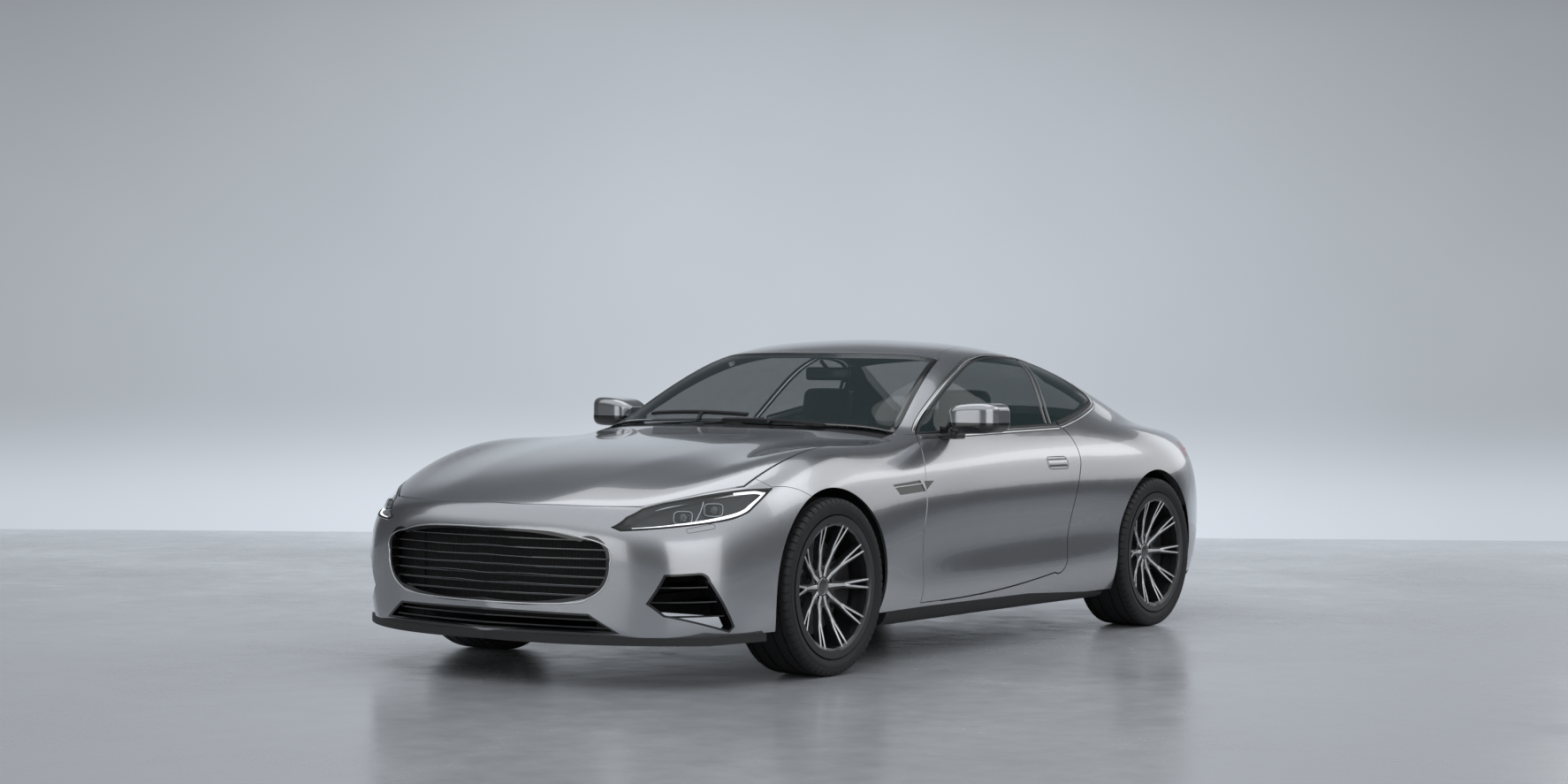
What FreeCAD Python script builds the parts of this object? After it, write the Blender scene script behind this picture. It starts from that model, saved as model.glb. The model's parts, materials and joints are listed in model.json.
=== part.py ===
import FreeCAD
import Part
import Sketcher

import math
import operator
import os

from FreeCAD import Placement, Rotation, Vector

# A two-door coupe as an assembly of separate pieces. Millimetres and degrees.
# +X runs rearwards, +Y to the car's right, +Z up; the origin is on the ground, under the
# middle of the car's length and width.

# ---------------------------------------------------------------------------------------
# Driving dimensions: alias in the sheet, value, what it is
# ---------------------------------------------------------------------------------------
SIZES = (
    ("wheelbase", 2800, "front axle to rear axle"),
    ("front_overhang", 1042, "nose to front axle"),
    ("rear_overhang", 892, "rear axle to tail"),
    ("body_width", 1960, "width of the skin over the rear wings"),
    ("body_height", 1368, "ground to roof"),
    ("track", 1666, "wheel centre to wheel centre across the car"),
    ("tyre_radius", 357, "outer radius of a tyre"),
    ("tyre_width", 262, "section width of a tyre"),
    ("sidewall", 71, "height of a tyre over its rim flange"),
    ("rim_wall", 34, "rim flange to the inside of the barrel"),
    ("arch_gap", 40, "tyre to wing lip"),
    ("steer_room", 60, "tyre to wheelhouse wall"),
    ("kingpin_offset", 68, "wheel centre plane to kingpin"),
    ("caliper_gap", 16, "brake caliper to rim barrel"),
    ("caliper_depth", 41, "how far a caliper reaches over its disc"),
    ("disc_width", 30, "brake disc thickness"),
    ("hub_radius", 33, "spindle radius"),
    ("skin_wall", 5, "bumper covers and glass"),
    ("wing_wall", 12, "front wings"),
    ("lid_wall", 26, "bonnet, boot lid and roof"),
    ("side_wall", 48, "body side and pillars"),
    ("shut_gap", 6, "round every moving panel"),
    ("seam", 2, "between fixed panels"),
    ("seat_gap", 0.3, "between pieces that seat on each other"),
    ("pin_radius", 6, "hinge pins"),
    ("pin_gap", 0.3, "hinge pin to its bore"),
    ("hinge_inset", 140, "door hinge axis from the widest skin"),
    ("floor_height", 165, "ground to the floor pan"),
)

doc = FreeCAD.newDocument("coupe_car")
sheet = doc.addObject("Spreadsheet::Sheet", "sizes")
for row, (alias, value, meaning) in enumerate(SIZES, start=1):
    sheet.set("A%d" % row, alias)
    sheet.set("B%d" % row, str(value))
    sheet.set("C%d" % row, meaning)
    sheet.setAlias("B%d" % row, alias)
doc.recompute()


OPERATIONS = {"+": operator.add, "-": operator.sub, "*": operator.mul, "/": operator.truediv}


def text_of(value):
    """A number as the text of an expression."""
    return value.text if isinstance(value, Bound) else "(%.6f)" % value


def worked(one, sign, other):
    value = OPERATIONS[sign](float(one), float(other))
    return Bound(value, "(%s %s %s)" % (text_of(one), sign, text_of(other)))


class Bound(float):
    """A number that remembers the expression of the sheet's cells it was worked out from."""

    def __new__(cls, value, text):
        number = super().__new__(cls, value)
        number.text = text
        return number

    def __add__(self, other):
        return worked(self, "+", other)

    def __radd__(self, other):
        return worked(other, "+", self)

    def __sub__(self, other):
        return worked(self, "-", other)

    def __rsub__(self, other):
        return worked(other, "-", self)

    def __mul__(self, other):
        return worked(self, "*", other)

    def __rmul__(self, other):
        return worked(other, "*", self)

    def __truediv__(self, other):
        return worked(self, "/", other)

    def __neg__(self):
        return worked(0, "-", self)


def size(alias):
    return Bound(sheet.get(alias), "sizes." + alias)


WHEELBASE = size("wheelbase")
FRONT_OVERHANG = size("front_overhang")
REAR_OVERHANG = size("rear_overhang")
LENGTH = FRONT_OVERHANG + WHEELBASE + REAR_OVERHANG
NOSE = -(LENGTH / 2)
TAIL = LENGTH / 2
FRONT_AXLE = NOSE + FRONT_OVERHANG
REAR_AXLE = TAIL - REAR_OVERHANG
TYRE_RADIUS = size("tyre_radius")
TYRE_WIDTH = size("tyre_width")
HALF_TRACK = size("track") / 2
GAP = size("shut_gap")
SEAM = size("seam")
SEAT = size("seat_gap")
ARCH_RADIUS = TYRE_RADIUS + size("arch_gap")
HOUSE_RADIUS = TYRE_RADIUS + size("steer_room")
FLOOR = size("floor_height")
BODY_WIDTH = size("body_width")
BODY_HEIGHT = size("body_height")

# The tables below give places on a car of these sizes; X(), Y() and Z() carry them over
# to the sizes in the sheet.
TABLE_NOSE, TABLE_FRONT_AXLE, TABLE_REAR_AXLE, TABLE_TAIL = -2367.0, -1325.0, 1475.0, 2367.0
TABLE_WIDTH = 1960.0
TABLE_HEIGHT = 1368.0
TABLE_AXLE_HEIGHT = 357.0


def X(x):
    stations = ((TABLE_NOSE, NOSE), (TABLE_FRONT_AXLE, FRONT_AXLE),
                (TABLE_REAR_AXLE, REAR_AXLE), (TABLE_TAIL, TAIL))
    for (a, real_a), (b, real_b) in zip(stations, stations[1:]):
        if x <= b or b == TABLE_TAIL:
            return real_a + (x - a) * (real_b - real_a) / (b - a)


def Y(y):
    return y * (BODY_WIDTH / TABLE_WIDTH)


def Z(z):
    """Heights up to the axles stay as they are; those above stretch with the body's height."""
    if z <= TABLE_AXLE_HEIGHT:
        return z
    stretch = (BODY_HEIGHT - TABLE_AXLE_HEIGHT) / (TABLE_HEIGHT - TABLE_AXLE_HEIGHT)
    return TABLE_AXLE_HEIGHT + (z - TABLE_AXLE_HEIGHT) * stretch


def at(x, y, z):
    return Vector(X(x), Y(y), Z(z))


# ---------------------------------------------------------------------------------------
# The skin: one smooth surface through sections across the car. Each row is a half section,
# from the underside to the centre line of the top:
# x at the widest point, x at the centre line above and below, floor height, then the
# (half width, height) of sill, side, shoulder, crest, belt, rail, the top's height, how far
# the lower door flares out, and how sharp the crease over the rail is (0 soft, 1 sharp).
# ---------------------------------------------------------------------------------------
SECTIONS = (
    (-2362, -2362, -2362, 400, (150, 402), (260, 450), (255, 490), (210, 520), (150, 530), (80, 533), 534, 0, 0),
    (-2300, -2366, -2368, 316, (400, 320), (545, 440), (535, 530), (450, 580), (340, 596), (190, 602), 604, 0, 0.4),
    (-2215, -2350, -2368, 200, (620, 200), (735, 400), (710, 560), (610, 635), (460, 655), (250, 668), 672, 0, 0.7),
    (-2110, -2290, -2330, 165, (790, 180), (840, 410), (815, 590), (710, 675), (530, 698), (285, 712), 716, 0, 0.9),
    (-1950, -2150, -2150, 160, (880, 185), (908, 420), (892, 610), (790, 748), (600, 752), (325, 770), 776, 0, 1.0),
    (-1740, -1880, -1800, 155, (920, 190), (952, 430), (940, 650), (855, 838), (665, 815), (350, 838), 846, 0, 1.0),
    (-1500, -1600, -1500, 150, (930, 190), (978, 440), (968, 675), (872, 920), (690, 865), (365, 884), 892, 0, 1.0),
    (-1250, -1300, -1250, 150, (925, 190), (985, 440), (972, 680), (872, 955), (715, 892), (375, 916), 925, 0, 0.9),
    (-950, -960, -950, 150, (908, 185), (958, 430), (960, 680), (864, 935), (745, 905), (390, 942), 952, 0, 0.7),
    (-720, -780, -700, 150, (900, 180), (937, 430), (952, 685), (861, 916), (770, 925), (430, 962), 972, 6, 0.3),
    (-560, -680, -600, 150, (898, 180), (928, 430), (945, 690), (858, 910), (792, 955), (606, 988), 1000, 12, 0),
    (-280, -400, -300, 150, (895, 180), (925, 430), (945, 690), (865, 900), (812, 965), (698, 1128), 1154, 20, 0),
    (40, -60, 0, 150, (893, 180), (925, 430), (948, 690), (872, 900), (815, 968), (634, 1290), 1324, 24, 0),
    (300, 250, 300, 150, (893, 180), (928, 430), (950, 690), (875, 905), (815, 972), (594, 1332), 1380, 27, 0),
    (700, 700, 700, 150, (895, 180), (938, 435), (960, 700), (880, 915), (815, 985), (588, 1314), 1369, 30, 0),
    (1020, 1080, 1000, 150, (900, 182), (960, 440), (975, 715), (885, 930), (815, 1000), (605, 1243), 1320, 30, 0),
    (1300, 1400, 1300, 150, (915, 185), (980, 450), (987, 730), (885, 945), (800, 985), (655, 1135), 1220, 22, 0),
    (1560, 1680, 1560, 152, (925, 190), (984, 460), (984, 730), (880, 945), (780, 960), (680, 1005), 1095, 14, 0),
    (1820, 1920, 1820, 160, (915, 200), (960, 470), (955, 730), (855, 925), (730, 945), (480, 985), 1000, 8, 0),
    (2050, 2130, 2080, 175, (860, 220), (905, 480), (900, 720), (800, 905), (670, 930), (420, 960), 968, 0, 0),
    (2200, 2320, 2270, 200, (770, 250), (815, 500), (810, 700), (720, 880), (600, 915), (380, 945), 955, 0, 0),
    (2290, 2366, 2340, 260, (640, 300), (690, 500), (690, 660), (620, 790), (520, 830), (330, 850), 858, 0, 0),
    (2367, 2367, 2367, 420, (330, 430), (380, 500), (380, 600), (340, 680), (290, 700), (180, 705), 706, 0, 0),
)
SECTION_BULGE = 12
FLARE_HOLLOW = 0.7
FLARE_LIFT = 1.2
CREASE_REACH = 62
CREASE_DROP = 3
UPPER_POINTS_FROM = 6


def between(one, other, share):
    return tuple(a + (b - a) * share for a, b in zip(one, other))


def section_net():
    """Control points of the skin, one closed row per section."""
    net = []
    for x_wide, x_top, x_low, low, sill, side, shoulder, crest, belt, rail, top, flare, crease in SECTIONS:
        outer_soft = ((belt[0] + rail[0]) / 2 + SECTION_BULGE, (belt[1] + rail[1] + SECTION_BULGE) / 2)
        inner_soft = (0.55 * rail[0], rail[1] + 0.72 * (top - rail[1]))
        outer_sharp = (rail[0] + CREASE_REACH, rail[1] - CREASE_DROP)
        inner_sharp = (rail[0] - CREASE_REACH, rail[1] + CREASE_DROP / 2)
        half = [(0, low), (0.6 * sill[0], low), (sill[0] - 40, low), sill,
                ((sill[0] + side[0]) / 2 + SECTION_BULGE + flare, (sill[1] + side[1]) / 2 + FLARE_LIFT * flare),
                (side[0] - FLARE_HOLLOW * flare, side[1] + FLARE_LIFT * flare), shoulder, crest, belt,
                between(outer_soft, outer_sharp, crease), rail, between(inner_soft, inner_sharp, crease),
                (0, top)]
        widest = max(y for y, z in half)
        row = []
        for k, (y, z) in enumerate(half):
            x_centre = x_top if k >= UPPER_POINTS_FROM else x_low
            x = x_wide + (x_centre - x_wide) * (1 - (y / widest) ** 2)
            row.append(at(x, y, z))
        net.append([Vector(p.x, -p.y, p.z) for p in row] + row[-2::-1])
    return net


def inset_net(net, depth):
    """The same control points moved inwards by depth, square to the skin."""
    rows, columns = len(net), len(net[0])
    moved = []
    for i, row in enumerate(net):
        new_row = []
        for j, point in enumerate(row):
            along = net[min(i + 1, rows - 1)][j] - net[max(i - 1, 0)][j]
            across = row[j + 1 if j < columns - 1 else 1] - row[j - 1 if j > 0 else columns - 2]
            inwards = across.cross(along).normalize()
            new_row.append(point + inwards * depth)
        moved.append(new_row)
    first, last = net[0][0].x + depth, net[-1][0].x - depth
    moved[0] = [Vector(first, p.y, p.z) for p in moved[0]]
    moved[-1] = [Vector(last, p.y, p.z) for p in moved[-1]]
    return moved


def skin_solid(depth):
    """The solid inside the skin, or inside a surface depth below it."""
    net = section_net()
    if depth:
        net = inset_net(net, depth)
    knots = []
    ends = []
    for count in (len(net), len(net[0])):
        spans = count - 3
        knots.append([float(k) for k in range(spans + 1)])
        ends.append([4] + [1] * (spans - 1) + [4])
    surface = Part.BSplineSurface()
    surface.buildFromPolesMultsKnots(net, ends[0], ends[1], knots[0], knots[1], False, False, 3, 3)
    face = surface.toShape()
    faces = [face]
    for edge in face.Edges:
        if edge.BoundBox.XLength < 0.001:
            faces.append(Part.Face(Part.Wire([edge])))
    shell = Part.Shell(faces)
    shell.sewShape()
    solid = Part.Solid(shell)
    if solid.Volume < 0:
        solid.reverse()
    return solid


SKINS = {}


def inside(depth):
    if depth not in SKINS:
        SKINS[depth] = skin_solid(depth)
    return SKINS[depth]


# ---------------------------------------------------------------------------------------
# Outlines: corners and arcs in the tables' own units. An arc is (through, end).
# ---------------------------------------------------------------------------------------
FAR = 3000.0


def outline(points, place, normal, grow=0):
    """A closed wire through points, grown outwards; a pair of points is an arc through the first."""
    corners = [place(*(item[1] if isinstance(item[0], tuple) else item)) for item in points]
    edges = []
    for k, item in enumerate(list(points[1:]) + [points[0]]):
        start, end = corners[k], corners[(k + 1) % len(corners)]
        if isinstance(item[0], tuple):
            edges.append(Part.Arc(start, place(*item[0]), end).toShape())
        elif (end - start).Length > 0.01:
            edges.append(Part.LineSegment(start, end).toShape())
    if not grow:
        return Part.Wire(edges)

    turning = sum((a.cross(b)).dot(normal) for a, b in zip(corners, corners[1:] + corners[:1]))
    outwards = grow if turning > 0 else -grow

    def side_of(edge, share):
        first, last = edge.ParameterRange
        return edge.tangentAt(first + share * (last - first)).cross(normal)

    grown = []
    for k, edge in enumerate(edges):
        before, after = edges[k - 1], edges[(k + 1) % len(edges)]
        first, last = edge.ParameterRange
        ends = []
        for point, one, other in ((edge.valueAt(first), side_of(before, 1), side_of(edge, 0)),
                                  (edge.valueAt(last), side_of(edge, 1), side_of(after, 0))):
            ends.append(point + (one + other) * (outwards / (1 + one.dot(other))))
        if edge.Curve.TypeId == "Part::GeomCircle":
            through = edge.valueAt((first + last) / 2) + side_of(edge, 0.5) * outwards
            grown.append(Part.Arc(ends[0], through, ends[1]).toShape())
        else:
            grown.append(Part.LineSegment(ends[0], ends[1]).toShape())
    return Part.Wire(grown)


def side_prism(points, grow=0, y_from=-FAR, y_to=0.0):
    """Seen from the side: (x, z) points, from y_from to y_to."""
    wire = outline(points, lambda x, z: Vector(X(x), y_from, Z(z)), Vector(0, 1, 0), grow)
    return Part.Face(wire).extrude(Vector(0, y_to - y_from, 0))


def plan_prism(points, grow=0, z_from=-FAR, z_to=FAR):
    """Seen from above: (x, y) points, from z_from to z_to."""
    wire = outline(points, lambda x, y: Vector(X(x), Y(y), z_from), Vector(0, 0, 1), grow)
    return Part.Face(wire).extrude(Vector(0, 0, z_to - z_from))


def front_prism(points, grow=0, x_from=-FAR, x_to=FAR):
    """Seen from the front: (y, z) points, from x_from to x_to."""
    wire = outline(points, lambda y, z: Vector(x_from, Y(y), Z(z)), Vector(1, 0, 0), grow)
    return Part.Face(wire).extrude(Vector(x_to - x_from, 0, 0))


def both_sides(points, flipped=1):
    """A symmetrical outline from its half with y >= 0, which starts and ends at y = 0."""
    def turn(point):
        return tuple(-value if k == flipped else value for k, value in enumerate(point))

    def end_of(item):
        return item[1] if isinstance(item[0], tuple) else item

    mirrored = []
    for before, item in reversed(list(zip(points, points[1:]))):
        end = turn(end_of(before))
        mirrored.append((turn(item[0]), end) if isinstance(item[0], tuple) else end)
    closing = mirrored[-1:] if isinstance(mirrored[-1][0], tuple) else []
    return tuple(points) + tuple(mirrored[:-1] + closing)


def real_block(x0, x1, y0, y1, z0, z1):
    return Part.makeBox(x1 - x0, y1 - y0, z1 - z0, Vector(x0, y0, z0))


def block(x0, x1, y0, y1, z0, z1):
    """A box between table places."""
    return real_block(X(x0), X(x1), Y(y0), Y(y1), Z(z0), Z(z1))


def across(x, z, radius, y0, y1):
    """A cylinder along Y at a real place."""
    return Part.makeCylinder(radius, y1 - y0, Vector(x, y0, z), Vector(0, 1, 0))


def mirror(shape):
    return shape.mirror(Vector(0, 0, 0), Vector(0, 1, 0))


def fuse(*shapes):
    return shapes[0].multiFuse(list(shapes[1:]))


NODES = []


def node(label, thing):
    """Name a finished sub-part."""
    thing.Label = label
    NODES.append(thing)
    return thing


def feature(shape, name="worked_shape"):
    """An object for a shape that is worked out here from the sheet."""
    thing = doc.addObject("Part::Feature", name)
    thing.Shape = shape
    thing.Placement = shape.Placement
    return thing


def piece(label, shape):
    return node(label, feature(shape, label))


def pair(label, shape):
    """A left sub-part and its mirror image on the right."""
    piece(label + "_left", shape)
    piece(label + "_right", mirror(shape))


# ---------------------------------------------------------------------------------------
# Objects bound to the sheet: every size and place is an expression of its cells
# ---------------------------------------------------------------------------------------
ALONG = {"x": Rotation(Vector(0, 1, 0), 90), "y": Rotation(Vector(1, 0, 0), -90), "z": Rotation()}


def bind(thing, **values):
    for name, value in values.items():
        thing.setExpression(name, text_of(value))
    return thing


def set_down(thing, x, y, z, turn=Rotation()):
    """Put an object at a bound place, turned by a fixed amount."""
    thing.Placement = Placement(Vector(x, y, z), turn)
    for axis, value in zip("xyz", (x, y, z)):
        thing.setExpression("Placement.Base." + axis, text_of(value))
    return thing


def box(x0, x1, y0, y1, z0, z1):
    thing = bind(doc.addObject("Part::Box", "box"), Length=x1 - x0, Width=y1 - y0, Height=z1 - z0)
    return set_down(thing, x0, y0, z0)


def table_box(x0, x1, y0, y1, z0, z1):
    return box(X(x0), X(x1), Y(y0), Y(y1), Z(z0), Z(z1))


def drum(x, y, z, radius, length, way="z"):
    thing = bind(doc.addObject("Part::Cylinder", "drum"), Radius=radius, Height=length)
    return set_down(thing, x, y, z, ALONG[way])


def joined(*things):
    thing = doc.addObject("Part::MultiFuse", "joined")
    thing.Shapes = list(things)
    thing.Refine = False
    return thing


def together(*things):
    thing = doc.addObject("Part::Compound", "together")
    thing.Links = list(things)
    return thing


def without(base, *tools):
    thing = doc.addObject("Part::Cut", "cut")
    thing.Base = base
    thing.Tool = tools[0] if len(tools) == 1 else joined(*tools)
    thing.Refine = False
    return thing


def overlap(base, tool):
    thing = doc.addObject("Part::Common", "overlap")
    thing.Base = base
    thing.Tool = tool
    thing.Refine = False
    return thing


def reflected(thing):
    image = doc.addObject("Part::Mirroring", "reflected")
    image.Source = thing
    image.Normal = Vector(0, 1, 0)
    return image


def both(*things):
    """Each object and its mirror image."""
    return [one for thing in things for one in (thing, reflected(thing))]


def new_body(name):
    return doc.addObject("PartDesign::Body", name)


def sketch_on(body, plane_role, corners):
    """A closed sketch on one of the body's own planes, each corner held by two bound constraints."""
    sketch = body.newObject("Sketcher::SketchObject", body.Name + "_profile")
    plane = next(item for item in body.Origin.OriginFeatures if item.Role == plane_role)
    sketch.AttachmentSupport = [(plane, "")]
    sketch.MapMode = "FlatFace"
    points = [Vector(u, v, 0) for u, v in corners]
    count = len(points)
    for k in range(count):
        sketch.addGeometry(Part.LineSegment(points[k], points[(k + 1) % count]), False)
    for k in range(count):
        sketch.addConstraint(Sketcher.Constraint("Coincident", k, 2, (k + 1) % count, 1))
    for k, corner in enumerate(corners):
        for kind, value in zip(("DistanceX", "DistanceY"), corner):
            index = sketch.addConstraint(Sketcher.Constraint(kind, -1, 1, k, 1, float(value)))
            sketch.setExpression("Constraints[%d]" % index, text_of(value))
    return sketch


def turned_body(name, profile):
    """A body turned about the wheel's axis, Y; profile is (outwards, radius)."""
    body = new_body(name)
    sketch = sketch_on(body, "YZ_Plane", [(-out, radius) for out, radius in profile])
    turning = body.newObject("PartDesign::Revolution", name + "_turning")
    turning.Profile = sketch
    turning.ReferenceAxis = (sketch, ["H_Axis"])
    turning.Angle = 360
    return body


def pocket_round(body, corners, count):
    """A pocket right through the body, repeated about Y; corners are (radius, degrees)."""
    flat = [(radius * math.cos(math.radians(angle)), radius * math.sin(math.radians(angle)))
            for radius, angle in corners]
    sketch = sketch_on(body, "XZ_Plane", flat)
    pocket = body.newObject("PartDesign::Pocket", body.Name + "_pocket")
    pocket.Profile = sketch
    pocket.Type = "ThroughAll"
    pocket.Midplane = True
    pattern = body.newObject("PartDesign::PolarPattern", body.Name + "_pattern")
    pattern.Originals = [pocket]
    pattern.Axis = (sketch, ["N_Axis"])
    pattern.Angle = 360
    pattern.Occurrences = count
    body.Tip = pattern


def padded_body(name, corners, y_from, y_to):
    """A side profile, (x, z) at table places, padded from one width to another."""
    body = new_body(name)
    sketch = sketch_on(body, "XZ_Plane", [(X(x), Z(z)) for x, z in corners])
    sketch.AttachmentOffset = Placement(Vector(0, 0, -y_from), Rotation())
    sketch.setExpression("AttachmentOffset.Base.z", text_of(0 - y_from))
    pad = body.newObject("PartDesign::Pad", name + "_pad")
    pad.Profile = sketch
    pad.Reversed = True
    bind(pad, Length=y_to - y_from)
    return body


# ---------------------------------------------------------------------------------------
# Where the panels meet. (x, z) outlines seen from the side, (x, y) from above, (y, z) from
# the front.
# ---------------------------------------------------------------------------------------
DOOR_TOP = 1000
DOOR_REAR = ((619, 371), ((676, 610), (772, 800)), ((782, 890), (726, 976)))
DOOR = ((-900, 951), (-900, 240), (-554, 248), ((0, 262), (519, 314)), ((600, 330), (619, 371)),
        ((676, 610), (772, 800)), ((782, 890), (726, 976)), ((100, 962), (-478, 951)))
SIDE_GLASS = ((-478, 951), ((-165, 1119), (127, 1230)), ((460, 1288), (896, 1276)),
              ((1060, 1235), (1180, 1160)), ((1222, 1105), (1186, 1066)), ((960, 1018), (726, 976)),
              ((100, 962), (-478, 951)))
B_LINE = ((600, 900), (779, 1249), (840, 1340), (1500, 1340), (1500, 900))
B_POST_WIDTH = 14
WINDSCREEN = both_sides(((-700, 0), ((-672, 480), (-590, 762)), (60, 590), ((-20, 340), (-50, 0))))
ROOF = both_sides(((-50, 0), ((-20, 340), (60, 590)), (96, 560), ((300, 506), (620, 462)),
                   ((860, 446), (1040, 470)), ((1075, 260), (1085, 0))))
REAR_WINDOW = both_sides(((1085, 0), ((1075, 260), (1040, 470)), ((1400, 560), (1700, 600)),
                          ((1770, 320), (1785, 0))))
BONNET = both_sides(((-800, 0), ((-760, 460), (-690, 800)), ((-1000, 796), (-1278, 824)),
                     ((-1600, 846), (-1805, 842)), ((-2010, 735), (-2160, 618)), ((-2270, 330), (-2300, 0))))
BOOT_LID = both_sides(((1765, 0), (1765, 584), (2500, 584), (2500, 0)))
BOOT_LID_LOW = 700
BUMPER_SEAM = ((-2600, 900), (-1900, 900), (-1684, 764), ((-1580, 760), (-1464, 716)), (-1325, 500),
               (-1325, 0), (-2600, 0))
REAR_BUMPER_SEAM = ((2600, 806), (1935, 806), (1930, 720), (1800, 560), (1475, 500), (1475, 0), (2600, 0))
HEADLAMP = ((-2268, 620), (-2257, 606), (-2119, 622), ((-1990, 636), (-1896, 652)),
            ((-1845, 668), (-1812, 686)), (-1680, 762), (-1805, 760), ((-2025, 729), (-2166, 692)),
            (-2225, 660))
GRILLE = both_sides(((0, 604), ((300, 600), (440, 578)), ((550, 545), (560, 490)),
                     ((540, 400), (470, 348)), ((350, 326), (0, 320))), flipped=0)
LOWER_INTAKE = both_sides(((0, 294), (475, 290), (592, 216), (0, 214)), flipped=0)
SIDE_INTAKE = ((-2187, 445), (-2082, 451), ((-2055, 440), (-2042, 417)), (-1923, 238), (-1943, 215),
               (-2180, 284), (-2221, 333))
TAIL_LAMP = ((1915, 876), (1935, 806), (2500, 806), (2500, 876))
TAIL_LAMP_INNER = 600
SIDE_VENT = ((-850, 750), (-620, 762), (-590, 716), (-805, 707))
PLINTH = ((-2600, 200), (-1000, 225), (-554, 228), (330, 226), (1070, 190), (2600, 190), (2600, 0),
          (-2600, 0))

COWL = both_sides(((-900, 0), (-900, 775), (-590, 762), ((-672, 480), (-700, 0))))

# ---------------------------------------------------------------------------------------
# Hinge axes. Round each axis the shut face is turned about the axis itself, so the gap
# beside it stays the same at every angle. Profiles: (place along the axis, radius).
# ---------------------------------------------------------------------------------------
DOOR_AXIS_X = X(-450)
DOOR_AXIS_Y = -(BODY_WIDTH / 2 - size("hinge_inset"))
DOOR_AXIS = Vector(DOOR_AXIS_X, DOOR_AXIS_Y, 0)
DOOR_SHUT = ((0, 165), (300, 178), (440, 190), (559, 191), (749, 142), (800, 118), (899, 66), (950, 43),
             (1010, 36))
BONNET_AXIS_X, BONNET_AXIS_Z = X(-850), Z(885)
BONNET_AXIS = Vector(BONNET_AXIS_X, 0, BONNET_AXIS_Z)
BONNET_SHUT = ((-840, 168), (-800, 165), (-604, 134), (-319, 114), (0, 108), (319, 114), (604, 134),
               (800, 165), (840, 168))
BOOT_AXIS_X, BOOT_AXIS_Z = X(1880), Z(925)
BOOT_AXIS = Vector(BOOT_AXIS_X, 0, BOOT_AXIS_Z)
BOOT_SHUT = ((-584, 93), (-450, 108), (-300, 116), (0, 119), (300, 116), (450, 108), (584, 93))


def shut_barrel(profile, axis_point, axis_way, scale, grow=0):
    """The space inside a shut face that is turned about a hinge axis."""
    corners = [Vector(0, 0, scale(profile[0][0]))]
    corners += [Vector(radius + grow, 0, scale(along)) for along, radius in profile]
    corners += [Vector(0, 0, scale(profile[-1][0]))]
    face = Part.Face(Part.makePolygon(corners + corners[:1]))
    turned = face.revolve(Vector(0, 0, 0), Vector(0, 0, 1), 360)
    if turned.Volume < 0:
        turned.reverse()
    turned.Placement = Placement(axis_point, Rotation(Vector(0, 0, 1), axis_way))
    return turned


def door_barrel(grow=0):
    return shut_barrel(DOOR_SHUT, DOOR_AXIS, Vector(0, 0, 1), Z, grow)


def bonnet_barrel(grow=0):
    return shut_barrel(BONNET_SHUT, BONNET_AXIS, Vector(0, 1, 0), Y, grow)


def boot_barrel(grow=0):
    (left, left_radius), (right, right_radius) = BOOT_SHUT[0], BOOT_SHUT[-1]
    profile = ((left - grow, left_radius),) + BOOT_SHUT[1:-1] + ((right + grow, right_radius),)
    return shut_barrel(profile, BOOT_AXIS, Vector(0, 1, 0), Y, grow)


def whole(shape):
    """The main solid of a shape, without the crumbs that a cut can leave."""
    return max(shape.Solids, key=lambda solid: solid.Volume)


def panel(wall, regions, minus=(), outer=0):
    """A sheet of the skin, wall thick, inside every region and outside every cutter."""
    shape = inside(outer)
    for region in regions:
        shape = shape.common(region)
    for cutter in [inside(outer + wall)] + list(minus):
        shape = shape.cut(cutter)
    return whole(shape)


def filling(depth, regions, minus=()):
    """A solid that fills its regions out to a surface depth below the skin."""
    shape = inside(depth)
    for region in regions:
        shape = shape.common(region)
    for cutter in minus:
        shape = shape.cut(cutter)
    return whole(shape)


AXLE_HEIGHT = TYRE_RADIUS
LEFT_HALF = real_block(-FAR, FAR, -FAR, 0, -FAR, FAR)
HIGH = real_block(-FAR, FAR, -FAR, FAR, Z(951), FAR)

# ---------------------------------------------------------------------------------------
# Outer panels
# ---------------------------------------------------------------------------------------
SKIN_WALL = size("skin_wall")
WING_WALL = size("wing_wall")
LID_WALL = size("lid_wall")
SIDE_WALL = size("side_wall")


def arch_cut(axle, radius):
    return across(axle, AXLE_HEIGHT, radius, -FAR, FAR)


front_arch = arch_cut(FRONT_AXLE, ARCH_RADIUS)
rear_arch = arch_cut(REAR_AXLE, ARCH_RADIUS)

# Doors: a deep box behind the hinge axis and a thin flange ahead of it
DOOR_FLANGE = 24
DOOR_BOX_START = DOOR_AXIS.x + 22
DOOR_INNER = ((790, 100), (800, 240), (812, 560), (818, 700), (796, 880), (748, 1010), (2000, 1010),
              (2000, 100))


def door_shape():
    leaf = inside(0).common(side_prism(DOOR)).common(real_block(-FAR, FAR, -FAR, 0, -FAR, Z(1010)))
    inner = front_prism(tuple((-y, z) for y, z in DOOR_INNER))
    box = leaf.common(inner).common(real_block(DOOR_BOX_START, FAR, -FAR, 0, -FAR, FAR))
    front = leaf.common(real_block(-FAR, DOOR_BOX_START, -FAR, 0, -FAR, FAR))
    flange = front.cut(inside(DOOR_FLANGE)).common(door_barrel())
    return fuse(whole(box), whole(flange))


HINGE_HEIGHTS = (Z(420), Z(720))
HINGE_LUG = 14
HINGE_HALF = 19
HINGE_PLATE = 8
PIN = size("pin_radius")
BORE = PIN + size("pin_gap")
PLAY = 0.5


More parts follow.
